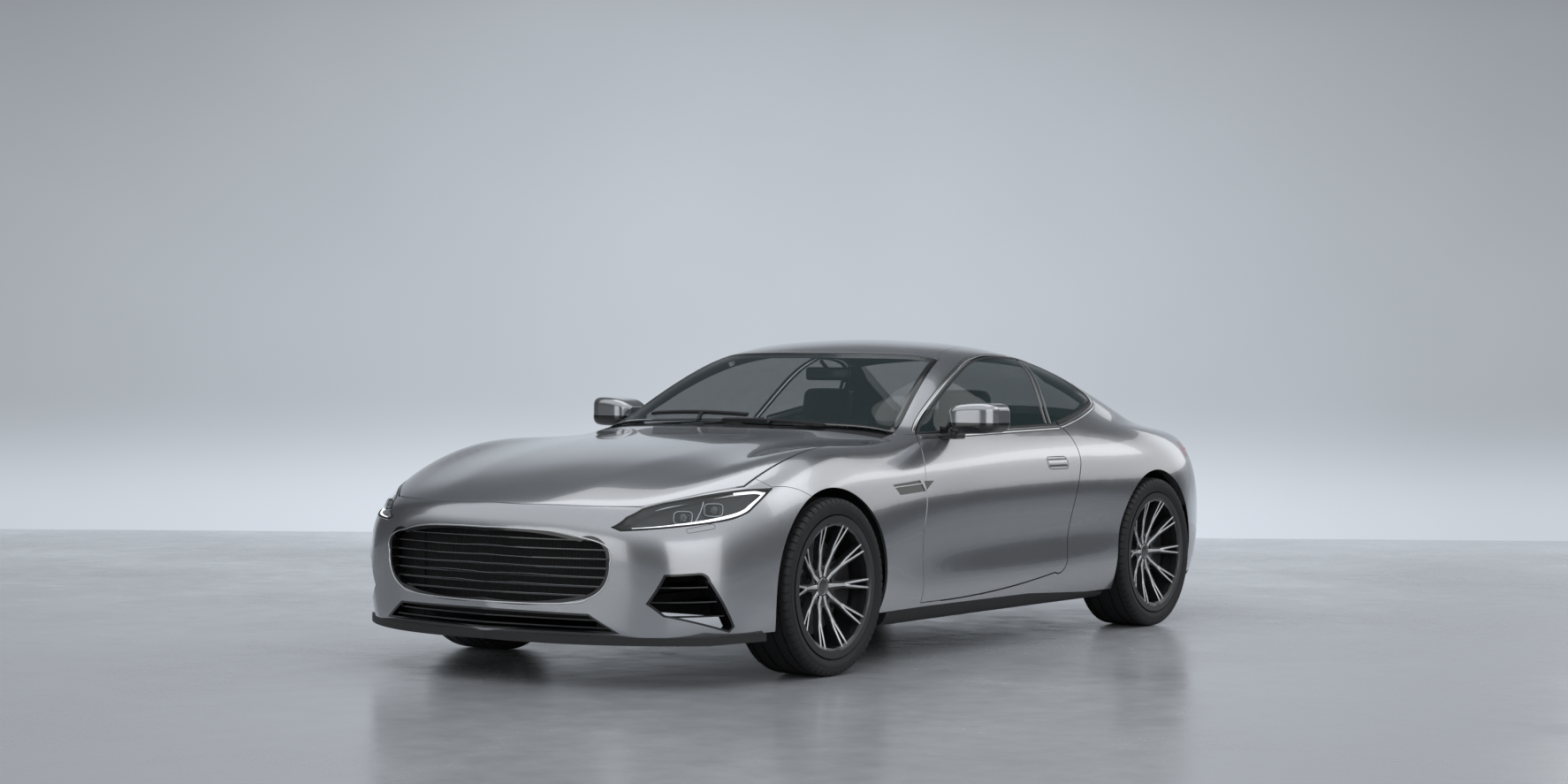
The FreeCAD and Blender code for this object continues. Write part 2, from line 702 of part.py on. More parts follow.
def door_with_hinges():
    door = door_shape()
    for height in HINGE_HEIGHTS:
        low = Vector(DOOR_AXIS.x, DOOR_AXIS.y, height - HINGE_HALF)
        lug = Part.makeCylinder(HINGE_LUG, 2 * HINGE_HALF, low)
        strap = real_block(DOOR_AXIS.x, DOOR_BOX_START + 10, DOOR_AXIS.y - 30, DOOR_AXIS.y + 5,
                           height - HINGE_HALF, height + HINGE_HALF)
        room = Part.makeCylinder(HINGE_LUG + 8, 2 * (HINGE_HALF + 16),
                                 Vector(low.x, low.y, height - HINGE_HALF - 16))
        door = door.cut(room).fuse(lug.fuse(strap))
        door = door.cut(Part.makeCylinder(BORE, 4 * HINGE_HALF, low - Vector(0, 0, HINGE_HALF)))
    return door


pair("door", door_with_hinges())

b_line = side_prism(B_LINE)
side_glass_room = side_prism(SIDE_GLASS, GAP).cut(b_line).fuse(side_prism(SIDE_GLASS, SEAT))
belt_high = side_prism(((-2600, 949), (-478, 951), ((100, 962), (726, 976)), (2600, 976), (2600, 1500),
                        (-2600, 1500)), -SEAT)
door_glass = panel(SKIN_WALL, [side_prism(SIDE_GLASS), belt_high],
                   [side_prism(B_LINE, B_POST_WIDTH / 2)])
pair("door_glass", door_glass)

quarter = panel(SKIN_WALL, [side_prism(SIDE_GLASS), side_prism(B_LINE, -B_POST_WIDTH / 2)],
                [side_prism(DOOR, GAP)])
piece("quarter_windows", Part.makeCompound([quarter, mirror(quarter)]))

behind_boot_axis = real_block(BOOT_AXIS.x, FAR, -FAR, FAR, -FAR, FAR)
boot_room = plan_prism(BOOT_LID, GAP).common(behind_boot_axis)
door_room = side_prism(DOOR, GAP).cut(real_block(-FAR, DOOR_AXIS.x, -FAR, 0, -FAR, FAR))
hinge_room = door_barrel(GAP).common(real_block(-FAR, FAR, -FAR, 0, Z(250) - GAP, Z(951) + GAP))
body_side = panel(SIDE_WALL, [LEFT_HALF, side_prism(((-600, 951), (-478, 951), (-478, 200), (2500, 200),
                                                     (2500, 1500), (-600, 1500)), 0)],
                  [plan_prism(WINDSCREEN, SEAT), plan_prism(ROOF, SEAT), plan_prism(REAR_WINDOW, SEAT),
                   plan_prism(COWL, SEAT), door_room, hinge_room, side_glass_room,
                   rear_arch, side_prism(PLINTH, SEAT), side_prism(REAR_BUMPER_SEAM, SEAM),
                   side_prism(TAIL_LAMP, SEAT), front_arch, boot_room, boot_barrel(GAP)])
pair("body_side", body_side)

above_cowl = real_block(-FAR, FAR, -FAR, FAR, Z(952), FAR)
piece("windscreen", panel(SKIN_WALL, [plan_prism(WINDSCREEN, -SEAT), above_cowl]))
piece("roof", panel(LID_WALL, [plan_prism(ROOF), HIGH]))
piece("rear_window", panel(SKIN_WALL, [plan_prism(REAR_WINDOW, -SEAT), HIGH]))

front_of_bonnet_axis = real_block(-FAR, BONNET_AXIS.x, -FAR, FAR, -FAR, FAR)
bonnet_limit = fuse(front_of_bonnet_axis, bonnet_barrel())
over_nose = real_block(-FAR, FAR, -FAR, FAR, Z(640), FAR)
bonnet = panel(LID_WALL, [plan_prism(BONNET), over_nose, bonnet_limit])
LUG_RADIUS = 14
LUG_HALF = 12


def hinged(lid, axis, y, lift):
    """A lid with a lug and arm at y, room for the bracket's plates beside it, and the bore."""
    reach = LUG_HALF + 2 * PLAY + HINGE_PLATE
    lid = lid.cut(across(axis.x, axis.z, LUG_RADIUS + PLAY, y - reach, y + reach))
    lug = across(axis.x, axis.z, LUG_RADIUS, y - LUG_HALF, y + LUG_HALF)
    stem = real_block(axis.x - LUG_RADIUS, axis.x + LUG_RADIUS, y - LUG_HALF, y + LUG_HALF, axis.z, axis.z + lift)
    bore = across(axis.x, axis.z, BORE, y - 2 * reach, y + 2 * reach)
    return lid.fuse(lug.fuse(stem.common(inside(LID_WALL / 3)))).cut(bore)


BONNET_HINGE_Y = Y(735)
for side in (-1, 1):
    bonnet = hinged(bonnet, BONNET_AXIS, side * BONNET_HINGE_Y, 60)
piece("bonnet", bonnet)
bonnet_room = inside(0).common(plan_prism(BONNET, GAP)).common(over_nose).common(
    fuse(front_of_bonnet_axis, bonnet_barrel(GAP)))

over_bumper = real_block(-FAR, FAR, -FAR, FAR, Z(BOOT_LID_LOW), FAR)
boot_lid = panel(LID_WALL, [plan_prism(BOOT_LID), over_bumper, fuse(behind_boot_axis, boot_barrel())])
BOOT_HINGE_Y = Y(480)
for side in (-1, 1):
    boot_lid = hinged(boot_lid, BOOT_AXIS, side * BOOT_HINGE_Y, 70)
piece("boot_lid", boot_lid)

front_wing = panel(WING_WALL, [LEFT_HALF, side_prism(((-1900, 951), (-478, 951), (-478, 200), (-1900, 200)))],
                   [bonnet_room, plan_prism(COWL, SEAT), side_prism(HEADLAMP, SEAM), side_prism(BUMPER_SEAM, SEAM),
                    front_arch, hinge_room, side_prism(PLINTH, SEAT), side_prism(SIDE_VENT, SEAT)])
pair("front_wing", front_wing)

front_bumper = panel(SKIN_WALL, [side_prism(BUMPER_SEAM, 0, -FAR, FAR), real_block(-FAR, FAR, -FAR, FAR, Z(204), FAR)],
                     [bonnet_room, side_prism(HEADLAMP, SEAT, -FAR, FAR), front_arch,
                      front_prism(GRILLE, 0, -FAR, X(-2100)), front_prism(LOWER_INTAKE, 0, -FAR, X(-2100)),
                      side_prism(SIDE_INTAKE, 0, -FAR, FAR)])
piece("front_bumper", front_bumper)

tip_holes = [Part.makeCylinder(48, 600, at(2100, y, 300), Vector(1, 0, 0)) for y in (-470, 470)]
rear_bumper = panel(SKIN_WALL, [side_prism(REAR_BUMPER_SEAM, 0, -FAR, FAR),
                                real_block(-FAR, FAR, -FAR, FAR, Z(235), FAR)],
                    [plan_prism(BOOT_LID, GAP, Z(BOOT_LID_LOW) - GAP), rear_arch,
                     side_prism(TAIL_LAMP, SEAT, -FAR, FAR)] + tip_holes)
piece("rear_bumper", rear_bumper)

side_blade = filling(0, [side_prism(PLINTH, 0), block(-880, 1040, -1000, -790, 150, 300)], [front_arch, rear_arch])
piece("side_blades", Part.makeCompound([side_blade, mirror(side_blade)]))

SPLITTER = both_sides(((-2352, 0), ((-2290, 520), (-2050, 868)), (-1760, 925), (-1760, 0)))
piece("front_splitter", plan_prism(SPLITTER, 0, Z(172), Z(204) - SEAT))

GRILLE_FRAME = 14
GRILLE_BARS = 7
BAR = 5


def slats(opening, count, low, high, x_to, make_prism, frame=GRILLE_FRAME, front=20, back=48, thick=BAR):
    """A frame and level bars that follow the skin inside an opening."""
    full = inside(2).common(make_prism(opening, -SEAT)).common(real_block(-FAR, x_to, -FAR, FAR, -FAR, FAR))
    full = full.cut(inside(back))
    ring = full.cut(make_prism(opening, -frame))
    full = full.common(inside(front))
    bars = []
    for k in range(count):
        height = Z(low + (high - low) * (k + 1) / (count + 1))
        bars.append(real_block(-FAR, FAR, -FAR, FAR, height - thick / 2, height + thick / 2))
    return fuse(ring, *[full.common(bar) for bar in bars])


piece("grille", slats(GRILLE, GRILLE_BARS, 320, 604, X(-2100), front_prism))
lower = slats(LOWER_INTAKE, 2, 206, 294, X(-2100), front_prism, 8)
side = slats(SIDE_INTAKE, 3, 225, 450, X(-1880), side_prism, 8).common(LEFT_HALF)
piece("lower_grille", Part.makeCompound([lower, side, mirror(side)]))

lamp_room = [side_prism(HEADLAMP, -SEAT), real_block(-FAR, FAR, -FAR, -Y(548), -FAR, FAR)]
lamp_body = filling(4, lamp_room, [inside(64), bonnet_room])
piece("headlamps", Part.makeCompound([lamp_body, mirror(lamp_body)]))
lens = panel(3.7, lamp_room, [bonnet_room])
piece("headlamp_lenses", Part.makeCompound([lens, mirror(lens)]))

tail_lamp = panel(40, [side_prism(TAIL_LAMP, -SEAT), LEFT_HALF], [real_block(-FAR, FAR, -Y(600), FAR, -FAR, FAR)])
piece("tail_lamps", Part.makeCompound([tail_lamp, mirror(tail_lamp)]))

vent = panel(WING_WALL, [side_prism(SIDE_VENT, -SEAT)], [hinge_room], 3)
piece("side_vents", Part.makeCompound([vent, mirror(vent)]))

over_cowl = real_block(X(-900), FAR, -FAR, FAR, Z(850), FAR)
piece("cowl", panel(24, [plan_prism(COWL, -SEAT), over_cowl], [bonnet_barrel(GAP), front_of_bonnet_axis], 10))

# ---------------------------------------------------------------------------------------
# Structure under the skin
# ---------------------------------------------------------------------------------------
ENGINE_BAY_HALF = Y(505)
KINGPIN_Y = HALF_TRACK - size("kingpin_offset")
HOUSE_SHEET = 5
FLOOR_SHEET = 30
FLOOR_TOP = FLOOR + FLOOR_SHEET
ROCKER_SHOULDER = 235

hinge_pillar = block(-546, -370, -736, -650, 190, 905).fuse(block(-588, -508, -790, -650, 888, 950))
hinge_pillar = hinge_pillar.common(inside(WING_WALL + SEAT)).cut(side_glass_room)
upper_arm = block(-2240, -2150, -500, -440, 585, 630).common(inside(SKIN_WALL + SEAT))
cowl_bar = block(-690, -620, -700, 700, 780, 850).common(inside(34 + SEAT))
slam_panel = filling(SKIN_WALL + SEAT, [block(-2340, -2160, -540, 540, 612, 652)],
                     [bonnet_room.cut(inside(LID_WALL + GAP))])
rear_bulkhead = block(1010, 1050, -560, 560, 190, 890).common(inside(SIDE_WALL + 20))
shelf = block(1030, 1700, -560, 560, 880, 900).common(inside(SIDE_WALL + SEAT))
boot_beam = filling(SIDE_WALL + SEAT, [block(1760, 1900, -900, 900, 790, 815)])
crash_beam = filling(SKIN_WALL + SEAT, [block(2200, 2360, -560, 560, 400, 480)])
skin_limited = [feature(shape) for shape in (hinge_pillar, mirror(hinge_pillar), upper_arm, mirror(upper_arm),
                                             cowl_bar, slam_panel, rear_bulkhead, shelf, boot_beam, crash_beam)]

tunnel = without(box(X(-740), X(1040), Y(-130), Y(130), FLOOR_TOP - 5, Z(330)),
                 box(X(-760), X(1060), Y(-105), Y(105), 0, Z(305)))
floor_pans = [box(X(-760), X(1040), Y(-700), Y(700), FLOOR, FLOOR_TOP),
              box(X(1030), X(1240), Y(-480), Y(480), FLOOR, FLOOR_TOP)]
rockers = both(box(X(-880), X(1040), Y(-782), Y(-690), FLOOR, ROCKER_SHOULDER),
               box(X(-505), X(1040), Y(-782), Y(-690), FLOOR_TOP, Z(335)))
walls = [table_box(-770, -740, -640, 640, 190, 800), table_box(-745, -620, -640, 640, 780, 800),
         table_box(1030, 2240, -480, 480, 505, 530)]
rails = both(table_box(-2190, -740, -500, -440, 380, 460), table_box(-2195, -2150, -500, -440, 260, 640),
             table_box(1790, 1840, -480, -440, 520, 800), table_box(2120, 2240, -390, -340, 294.3, 520))
node("underbody", joined(tunnel, *floor_pans, *rockers, *walls, *rails, *skin_limited))

ARM_WINDOW_HALF = 32
behind_axis = real_block(BONNET_AXIS_X - 24, FAR, -FAR, FAR, -FAR, FAR)
under_bonnet = plan_prism(BONNET, GAP).common(real_block(-FAR, FAR, -FAR, FAR, Z(600), FAR))
wing_rail = filling(WING_WALL + SEAT, [block(-1640, -760, -900, -780, 790, 960)],
                    [arch_cut(FRONT_AXLE, HOUSE_RADIUS + HOUSE_SHEET + SEAT),
                     bonnet_barrel(GAP).common(plan_prism(BONNET, GAP)).common(behind_axis),
                     under_bonnet.cut(inside(LID_WALL + 2 * GAP))])


def wheelhouse(axle, inner, depth, low):
    """A half barrel over a wheel with its inner wall, and a window there for the upper arm."""
    barrel = across(axle, AXLE_HEIGHT, HOUSE_RADIUS + HOUSE_SHEET, -FAR, -inner)
    hollow = across(axle, AXLE_HEIGHT, HOUSE_RADIUS, -FAR, -inner - HOUSE_SHEET)
    shell = barrel.cut(hollow).common(real_block(-FAR, FAR, -FAR, 0, low, FAR)).common(inside(depth))
    window = real_block(axle - ARM_WINDOW_HALF, axle + ARM_WINDOW_HALF, -inner - 30, 0,
                        AXLE_HEIGHT + 100, AXLE_HEIGHT + 134)
    return whole(shell.cut(window))


front_house = wheelhouse(FRONT_AXLE, ENGINE_BAY_HALF, WING_WALL + SEAT, Z(420)).cut(wing_rail)
node("front_wheelhouses", together(*both(feature(front_house), feature(wing_rail))))
rear_house = wheelhouse(REAR_AXLE, Y(610), SIDE_WALL + SEAT, Z(420))
node("rear_wheelhouses", together(*both(feature(rear_house))))

SUMP_LOW = AXLE_HEIGHT - 80 + SEAT
engine_block = box(FRONT_AXLE - 235, FRONT_AXLE + 465, -300, 300, Z(330), Z(740))
node("engine", joined(engine_block, box(FRONT_AXLE - 80, FRONT_AXLE + 80, -200, 200, SUMP_LOW, Z(340))))
node("radiator", together(box(X(-2195), X(-2150), -Y(440) + SEAT, Y(440) - SEAT, Z(250), Z(612) - SEAT)))

# ---------------------------------------------------------------------------------------
# Running gear
# ---------------------------------------------------------------------------------------
HUB = size("hub_radius")
RIM_R = TYRE_RADIUS - size("sidewall")
BARREL_INNER = RIM_R - size("rim_wall")
CALIPER_R = BARREL_INNER - size("caliper_gap")
DISC_R = CALIPER_R - size("caliper_depth")
DISC_W = size("disc_width")
DISC_OUT = -8
HUB_FACE = 36
KNUCKLE_LOW, KNUCKLE_HIGH = AXLE_HEIGHT - 95, AXLE_HEIGHT + 105
KNUCKLE_POST = 21
BALL_PIN = 9
PIN_DEPTH = 22
ARM_THICK = 20
LOW_ARM_Z = KNUCKLE_LOW - 12
HIGH_ARM_Z = KNUCKLE_HIGH + 12


def arm(axle, height, y_inner, width):
    """A flat link from the subframe to the kingpin, with a round end."""
    low = height - ARM_THICK / 2
    return [box(axle - width / 2, axle + width / 2, -KINGPIN_Y, -y_inner, low, low + ARM_THICK),
            drum(axle, -KINGPIN_Y, low, width / 2, ARM_THICK)]


def suspension(axle, y_inner):
    """The left arms of an axle with the ball pins that the carrier turns on."""
    return (arm(axle, LOW_ARM_Z, y_inner, 56) + arm(axle, HIGH_ARM_Z, y_inner, 44)
            + [drum(axle, -KINGPIN_Y, KNUCKLE_LOW - 3, BALL_PIN, PIN_DEPTH),
               drum(axle, -KINGPIN_Y, KNUCKLE_HIGH - 19, BALL_PIN, PIN_DEPTH)])


def carrier(axle):
    """The carrier on the kingpin, with the wheel spindle and the brake caliper."""
    y = -KINGPIN_Y
    post = drum(axle, y, KNUCKLE_LOW + PLAY, KNUCKLE_POST, KNUCKLE_HIGH - KNUCKLE_LOW - 2 * PLAY)
    sockets = [drum(axle, y, z, BALL_PIN + SEAT, PIN_DEPTH + 1.5) for z in (KNUCKLE_LOW - 3, KNUCKLE_HIGH - 20)]
    face = -HALF_TRACK - HUB_FACE
    spindle = drum(axle, face - 26, AXLE_HEIGHT, HUB, y + 36 - face, "y")
    inner = -HALF_TRACK - DISC_OUT + DISC_W / 2
    outer = inner - DISC_W
    block_in, block_out = inner + 34, outer - 26
    ring = without(drum(axle, block_out, AXLE_HEIGHT, CALIPER_R, block_in - block_out, "y"),
                   drum(axle, block_out - 1, AXLE_HEIGHT, 128, block_in - block_out + 2, "y"),
                   drum(axle, outer - 4, AXLE_HEIGHT, DISC_R + 6, DISC_W + 8, "y"))
    caliper = overlap(ring, box(axle + 60, axle + 400, -FAR, 0, AXLE_HEIGHT - 95, AXLE_HEIGHT + 95))
    link = box(axle, axle + 150, inner + 8, inner + 34, AXLE_HEIGHT - 32, AXLE_HEIGHT + 32)
    return joined(without(post, *sockets), spindle, link, caliper)


def cross_member(axle, half_length, half_width, low, height):
    return box(axle - half_length, axle + half_length, -half_width, half_width, AXLE_HEIGHT - low,
               AXLE_HEIGHT - low + height)


front_posts = both(box(FRONT_AXLE - 40, FRONT_AXLE + 40, -Y(440) + SEAT, -380, AXLE_HEIGHT - 140, AXLE_HEIGHT + 140))
front_rails = both(box(FRONT_AXLE - 700, X(-770) - SEAT, -430, -380, AXLE_HEIGHT - 57, AXLE_HEIGHT - 27))
front_arms = both(*suspension(FRONT_AXLE, 400))
node("front_subframe", joined(cross_member(FRONT_AXLE, 90, 400, 140, 60), *front_posts, *front_rails, *front_arms))

SHAFT_RADIUS = 17
shaft = drum(REAR_AXLE, -KINGPIN_Y - 10, AXLE_HEIGHT, SHAFT_RADIUS, KINGPIN_Y - 140 - SEAT, "y")
rear_posts = both(box(REAR_AXLE - 60, REAR_AXLE + 60, -470, -400, AXLE_HEIGHT - 150, Z(505) - SEAT))
final_drive = box(REAR_AXLE - 130, REAR_AXLE + 90, -150, 150, AXLE_HEIGHT - 100, AXLE_HEIGHT + 80)
shaft_rooms = both(drum(REAR_AXLE, -500, AXLE_HEIGHT, SHAFT_RADIUS + 23, 200, "y"))
rear_arms = both(*suspension(REAR_AXLE, 420))
node("rear_subframe", without(joined(cross_member(REAR_AXLE, 120, 430, 150, 60), final_drive, *rear_posts, *rear_arms),
                              *shaft_rooms))
front_carrier = carrier(FRONT_AXLE)
node("front_knuckle_left", front_carrier)
node("front_knuckle_right", reflected(front_carrier))
node("rear_hubs", together(*both(joined(carrier(REAR_AXLE), shaft))))

# The wheel is turned about its own centre; each corner of the car carries a copy.
HALF_TYRE = TYRE_WIDTH / 2
BEAD = 14
FLANGE = 8
TYRE_SEAT = RIM_R - 16
BARREL_EDGE = HALF_TYRE - BEAD + SEAT
SPOKES = 10
HUB_FRONT = 62
RIM_FRONT = BARREL_EDGE + 2

tyre_half = ((HALF_TYRE - BEAD, TYRE_SEAT + SEAT), (HALF_TYRE - BEAD, RIM_R + SEAT), (HALF_TYRE - 4, RIM_R + 11),
             (HALF_TYRE, RIM_R + 26), (HALF_TYRE - 2, TYRE_RADIUS - 28), (HALF_TYRE - 12, TYRE_RADIUS - 10),
             (HALF_TYRE - 34, TYRE_RADIUS))
tyre_body = turned_body("tyre", [(-out, radius) for out, radius in tyre_half] + list(tyre_half[::-1]))

barrel_half = ((BARREL_EDGE, TYRE_SEAT), (BARREL_EDGE, RIM_R), (BARREL_EDGE + FLANGE, RIM_R),
               (BARREL_EDGE + FLANGE, BARREL_INNER + FLANGE), (BARREL_EDGE, BARREL_INNER))
rim_barrel = turned_body("rim_barrel", [(-out, radius) for out, radius in barrel_half[::-1]] + list(barrel_half))
dish_reach = BARREL_INNER - HUB
dish_front = [(HUB_FRONT, HUB + 44), (HUB_FRONT + 6, HUB + dish_reach * 0.30), (HUB_FRONT + 24, HUB + dish_reach * 0.62),
              (RIM_FRONT - 12, HUB + dish_reach * 0.87), (RIM_FRONT, BARREL_INNER + 2)]
dish_back = [(RIM_FRONT - 28, BARREL_INNER + 2), (RIM_FRONT - 40, HUB + dish_reach * 0.84), (58, HUB + dish_reach * 0.6),
             (46, HUB + dish_reach * 0.36), (HUB_FACE, HUB + 55)]
spokes = turned_body("spokes", [(HUB_FACE, HUB + SEAT), (HUB_FRONT, HUB + SEAT)] + dish_front + dish_back)
half_pitch = 180 / SPOKES
window_edge = BARREL_INNER - 7
pocket_round(spokes, ((84, half_pitch - 5), (118, half_pitch - 11.5), (window_edge, half_pitch - 12.8),
                      (window_edge + 2, half_pitch), (window_edge, half_pitch + 12.8), (118, half_pitch + 11.5),
                      (84, half_pitch + 5)), SPOKES)
pocket_round(spokes, ((146, 0), (window_edge - 6, -2.1), (window_edge - 1, -1.2), (window_edge - 1, 1.2),
                      (window_edge - 6, 2.1)), SPOKES)
NUT_CIRCLE, NUT_POCKET, NUTS = 57, 11, 5
pocket_round(spokes, [(math.hypot(NUT_CIRCLE + NUT_POCKET * math.cos(turn), NUT_POCKET * math.sin(turn)),
                       90 + math.degrees(math.atan2(NUT_POCKET * math.sin(turn),
                                                    NUT_CIRCLE + NUT_POCKET * math.cos(turn))))
                      for turn in (math.radians(30 + 60 * k) for k in range(6))], NUTS)
rim_body = joined(rim_barrel, spokes)

disc_inner, disc_outer = DISC_OUT - DISC_W / 2, DISC_OUT + DISC_W / 2
disc_body = turned_body("brake_disc", (
    (disc_inner, 88), (disc_inner, DISC_R), (disc_outer, DISC_R), (disc_outer, 88), (HUB_FACE - SEAT, 80),
    (HUB_FACE - SEAT, HUB + SEAT), (HUB_FACE - 9, HUB + SEAT), (HUB_FACE - 9, 72), (disc_outer - 2, 78)))

for corner, axle in (("front", FRONT_AXLE), ("rear", REAR_AXLE)):
    for name, master in (("tyre", tyre_body), ("rim", rim_body), ("brake_disc", disc_body)):
        for side, y, turn in (("left", -HALF_TRACK, 0), ("right", HALF_TRACK, 180)):
            copy = node("%s_%s_%s" % (name, corner, side), together(master))
            set_down(copy, axle, y, AXLE_HEIGHT, Rotation(Vector(0, 0, 1), turn))

# ---------------------------------------------------------------------------------------
# Hinges of the doors and lids
# ---------------------------------------------------------------------------------------
def door_bracket(height):
    """Two plates on the hinge pillar with the pin between them."""
    face = -Y(736) - SEAT
    reach = HINGE_HALF + PLAY + HINGE_PLATE
    parts = [drum(DOOR_AXIS_X, DOOR_AXIS_Y, height - reach, PIN, 2 * reach),
             box(DOOR_AXIS_X - LUG_RADIUS, DOOR_AXIS_X + LUG_RADIUS, face - HINGE_PLATE, face, height - reach,
                 height + reach)]
    for low in (height - reach, height + reach - HINGE_PLATE):
        parts.append(box(DOOR_AXIS_X - LUG_RADIUS, DOOR_AXIS_X + LUG_RADIUS, DOOR_AXIS_Y, face, low,
                         low + HINGE_PLATE))
        parts.append(drum(DOOR_AXIS_X, DOOR_AXIS_Y, low, LUG_RADIUS, HINGE_PLATE))
    return joined(*parts)


def lid_bracket(x, y, z, base):
    """Two plates on the body with the pin between them."""
    reach = LUG_HALF + PLAY + HINGE_PLATE
    half = LUG_RADIUS - 2
    parts = [drum(x, y - reach, z, PIN, 2 * reach, "y"),
             box(x - half - 12, x + half + 12, y - reach, y + reach, base, base + HINGE_PLATE)]
    for start in (y - reach, y + reach - HINGE_PLATE):
        parts.append(drum(x, start, z, half, HINGE_PLATE, "y"))
        parts.append(box(x - half, x + half, start, start + HINGE_PLATE, base, z))
    return parts


node("door_hinges", together(*both(*[door_bracket(height) for height in HINGE_HEIGHTS])))
bonnet_foot = box(BONNET_AXIS_X - 110, BONNET_AXIS_X + 24, -Y(780) + SEAT, -BONNET_HINGE_Y - 20, Z(805),
                  Z(805) + HINGE_PLATE)
lid_brackets = [joined(bonnet_foot, *lid_bracket(BONNET_AXIS_X, -BONNET_HINGE_Y, BONNET_AXIS_Z, Z(805))),
                joined(*lid_bracket(BOOT_AXIS_X, -BOOT_HINGE_Y, BOOT_AXIS_Z, Z(815) + SEAT))]
node("lid_hinges", together(*both(*lid_brackets)))

# ---------------------------------------------------------------------------------------
# Cabin
# ---------------------------------------------------------------------------------------
SEAT_SIDE = ((-110, 300), (-130, 400), (-70, 450), (330, 420), (400, 460), (545, 930), (590, 1120), (665, 1135),
             (700, 1040), (680, 940), (560, 400), (520, 290))
runners = [box(X(-60), X(480), Y(-560), Y(-520), FLOOR_TOP, Z(300)),
           box(X(-60), X(480), Y(-250), Y(-210), FLOOR_TOP, Z(300))]
front_seat = joined(padded_body("front_seat", SEAT_SIDE, Y(-610), Y(-160)), *runners)
node("front_seat_left", front_seat)
node("front_seat_right", reflected(front_seat))
REAR_SEAT_SIDE = ((700, 310), (690, 440), (900, 420), (985, 800), (1009.7, 800), (1009.7, 310))
node("rear_seats", together(*both(padded_body("rear_seat", REAR_SEAT_SIDE, Y(-540), Y(-135)))))
node("console", together(table_box(-420, 680, -125, 125, 330, 470)))

WHEEL_CENTRE = (X(-110), Y(370), Z(800))
WHEEL_TURN = Rotation(Vector(0, 1, 0), 66).multiply(Rotation(Vector(0, 0, 1), 90))
COLUMN_RADIUS = 28
hoop = bind(doc.addObject("Part::Torus", "hoop"), Radius1=180, Radius2=15)
hand_wheel = joined(hoop, drum(0, 0, -20, 55, 36), drum(0, 0, -205, COLUMN_RADIUS, 190),
                    box(-170, 170, -17, 17, -8, 4), box(-15, 15, -170, 0, -8, 4))
steering_wheel = node("steering_wheel", together(hand_wheel))
set_down(steering_wheel, *WHEEL_CENTRE, WHEEL_TURN)

DASH_SIDE = ((-739.7, 560), (-739.7, 778), (-640, 870), (-600, 905), (-400, 915), (-290, 880), (-250, 820),
             (-270, 740), (-400, 640), (-480, 560))
column_room = Part.makeCylinder(COLUMN_RADIUS + SEAT, 400, Vector(0, 0, -205 - SEAT))
column_room.Placement = Placement(Vector(*WHEEL_CENTRE), WHEEL_TURN)
dash = side_prism(DASH_SIDE, 0, -Y(640), Y(640)).cut(block(-750, -610, -650, 650, 775, 855))
piece("dashboard", whole(dash.common(inside(70)).cut(column_room)))

# ---------------------------------------------------------------------------------------
# Mirrors, wipers, exhaust, diffuser
# ---------------------------------------------------------------------------------------
MIRROR_ROUND = 0.42
MIRROR_HEAD = ((-250, -862, 1012, 62, 30), (-268, -905, 1016, 92, 58), (-262, -1010, 1021, 92, 66),
               (-246, -1080, 1022, 74, 56), (-232, -1094, 1022, 50, 38))


def rounded_wire(x, y, z, half_x, half_z):
    """A rounded rectangle square to Y at a table place."""
    centre = at(x, y, z)
    round_x, round_z = half_x * MIRROR_ROUND, half_z * MIRROR_ROUND
    bulge = math.sqrt(0.5)
    edges = []
    corners = ((1, 1), (-1, 1), (-1, -1), (1, -1))
    starts = []
    for k, (sx, sz) in enumerate(corners):
        flat_x = centre + Vector(sx * (half_x - round_x), 0, sz * half_z)
        flat_z = centre + Vector(sx * half_x, 0, sz * (half_z - round_z))
        middle = centre + Vector(sx * (half_x - round_x * (1 - bulge)), 0, sz * (half_z - round_z * (1 - bulge)))
        ends = (flat_z, flat_x) if k % 2 == 0 else (flat_x, flat_z)
        starts.append((ends[0], middle, ends[1]))
    for k, (start, middle, end) in enumerate(starts):
        edges.append(Part.Arc(start, middle, end).toShape())
        edges.append(Part.LineSegment(end, starts[(k + 1) % 4][0]).toShape())
    return Part.Wire(edges)


head = Part.makeLoft([rounded_wire(*station) for station in MIRROR_HEAD], True)
stalk = block(-330, -250, -915, -828, 930, 990).cut(inside(-SEAT))
pair("mirror", fuse(head, whole(stalk)))

WIPER_BLADES = (((-680, -470), (-688, 60), (-702, 60), (-694, -470)),
                ((-640, -40), (-588, 520), (-602, 524), (-654, -38)))
WIPER_ARMS = (((-722, -190), (-686, -180), (-688, -200), (-722, -206)),
              ((-700, 200), (-618, 238), (-620, 216), (-704, 184)))
WIPER_THICK = 10


def wiper(blade, pivot):
    """A blade and its arm, lying on the glass and the cowl."""
    parts = [panel(WIPER_THICK, [plan_prism(corners), HIGH], [], -WIPER_THICK - SEAT) for corners in (blade, pivot)]
    return fuse(*parts)


piece("wipers", Part.makeCompound([wiper(blade, pivot) for blade, pivot in zip(WIPER_BLADES, WIPER_ARMS)]))

TIP_RADIUS = 42
silencer = table_box(1960, 2170, -520, 520, 240, 294)
tips = both(drum(X(2165), -Y(470), Z(300), TIP_RADIUS, X(2340) - X(2165), "x"))
node("exhaust", joined(silencer, *tips))
piece("rear_diffuser", filling(0, [block(1880, 2400, -900, 900, 150, 234.7)], [rear_arch]))

# ---------------------------------------------------------------------------------------
# Every object has to be sound before anything is written
# ---------------------------------------------------------------------------------------
doc.recompute()
for thing in doc.Objects:
    if "Invalid" in thing.State or "Error" in thing.State:
        raise RuntimeError("failed: " + thing.Label)
for part in NODES:
    if part.Shape.isNull() or not part.Shape.isValid():
        raise RuntimeError("not a valid shape: " + part.Label)

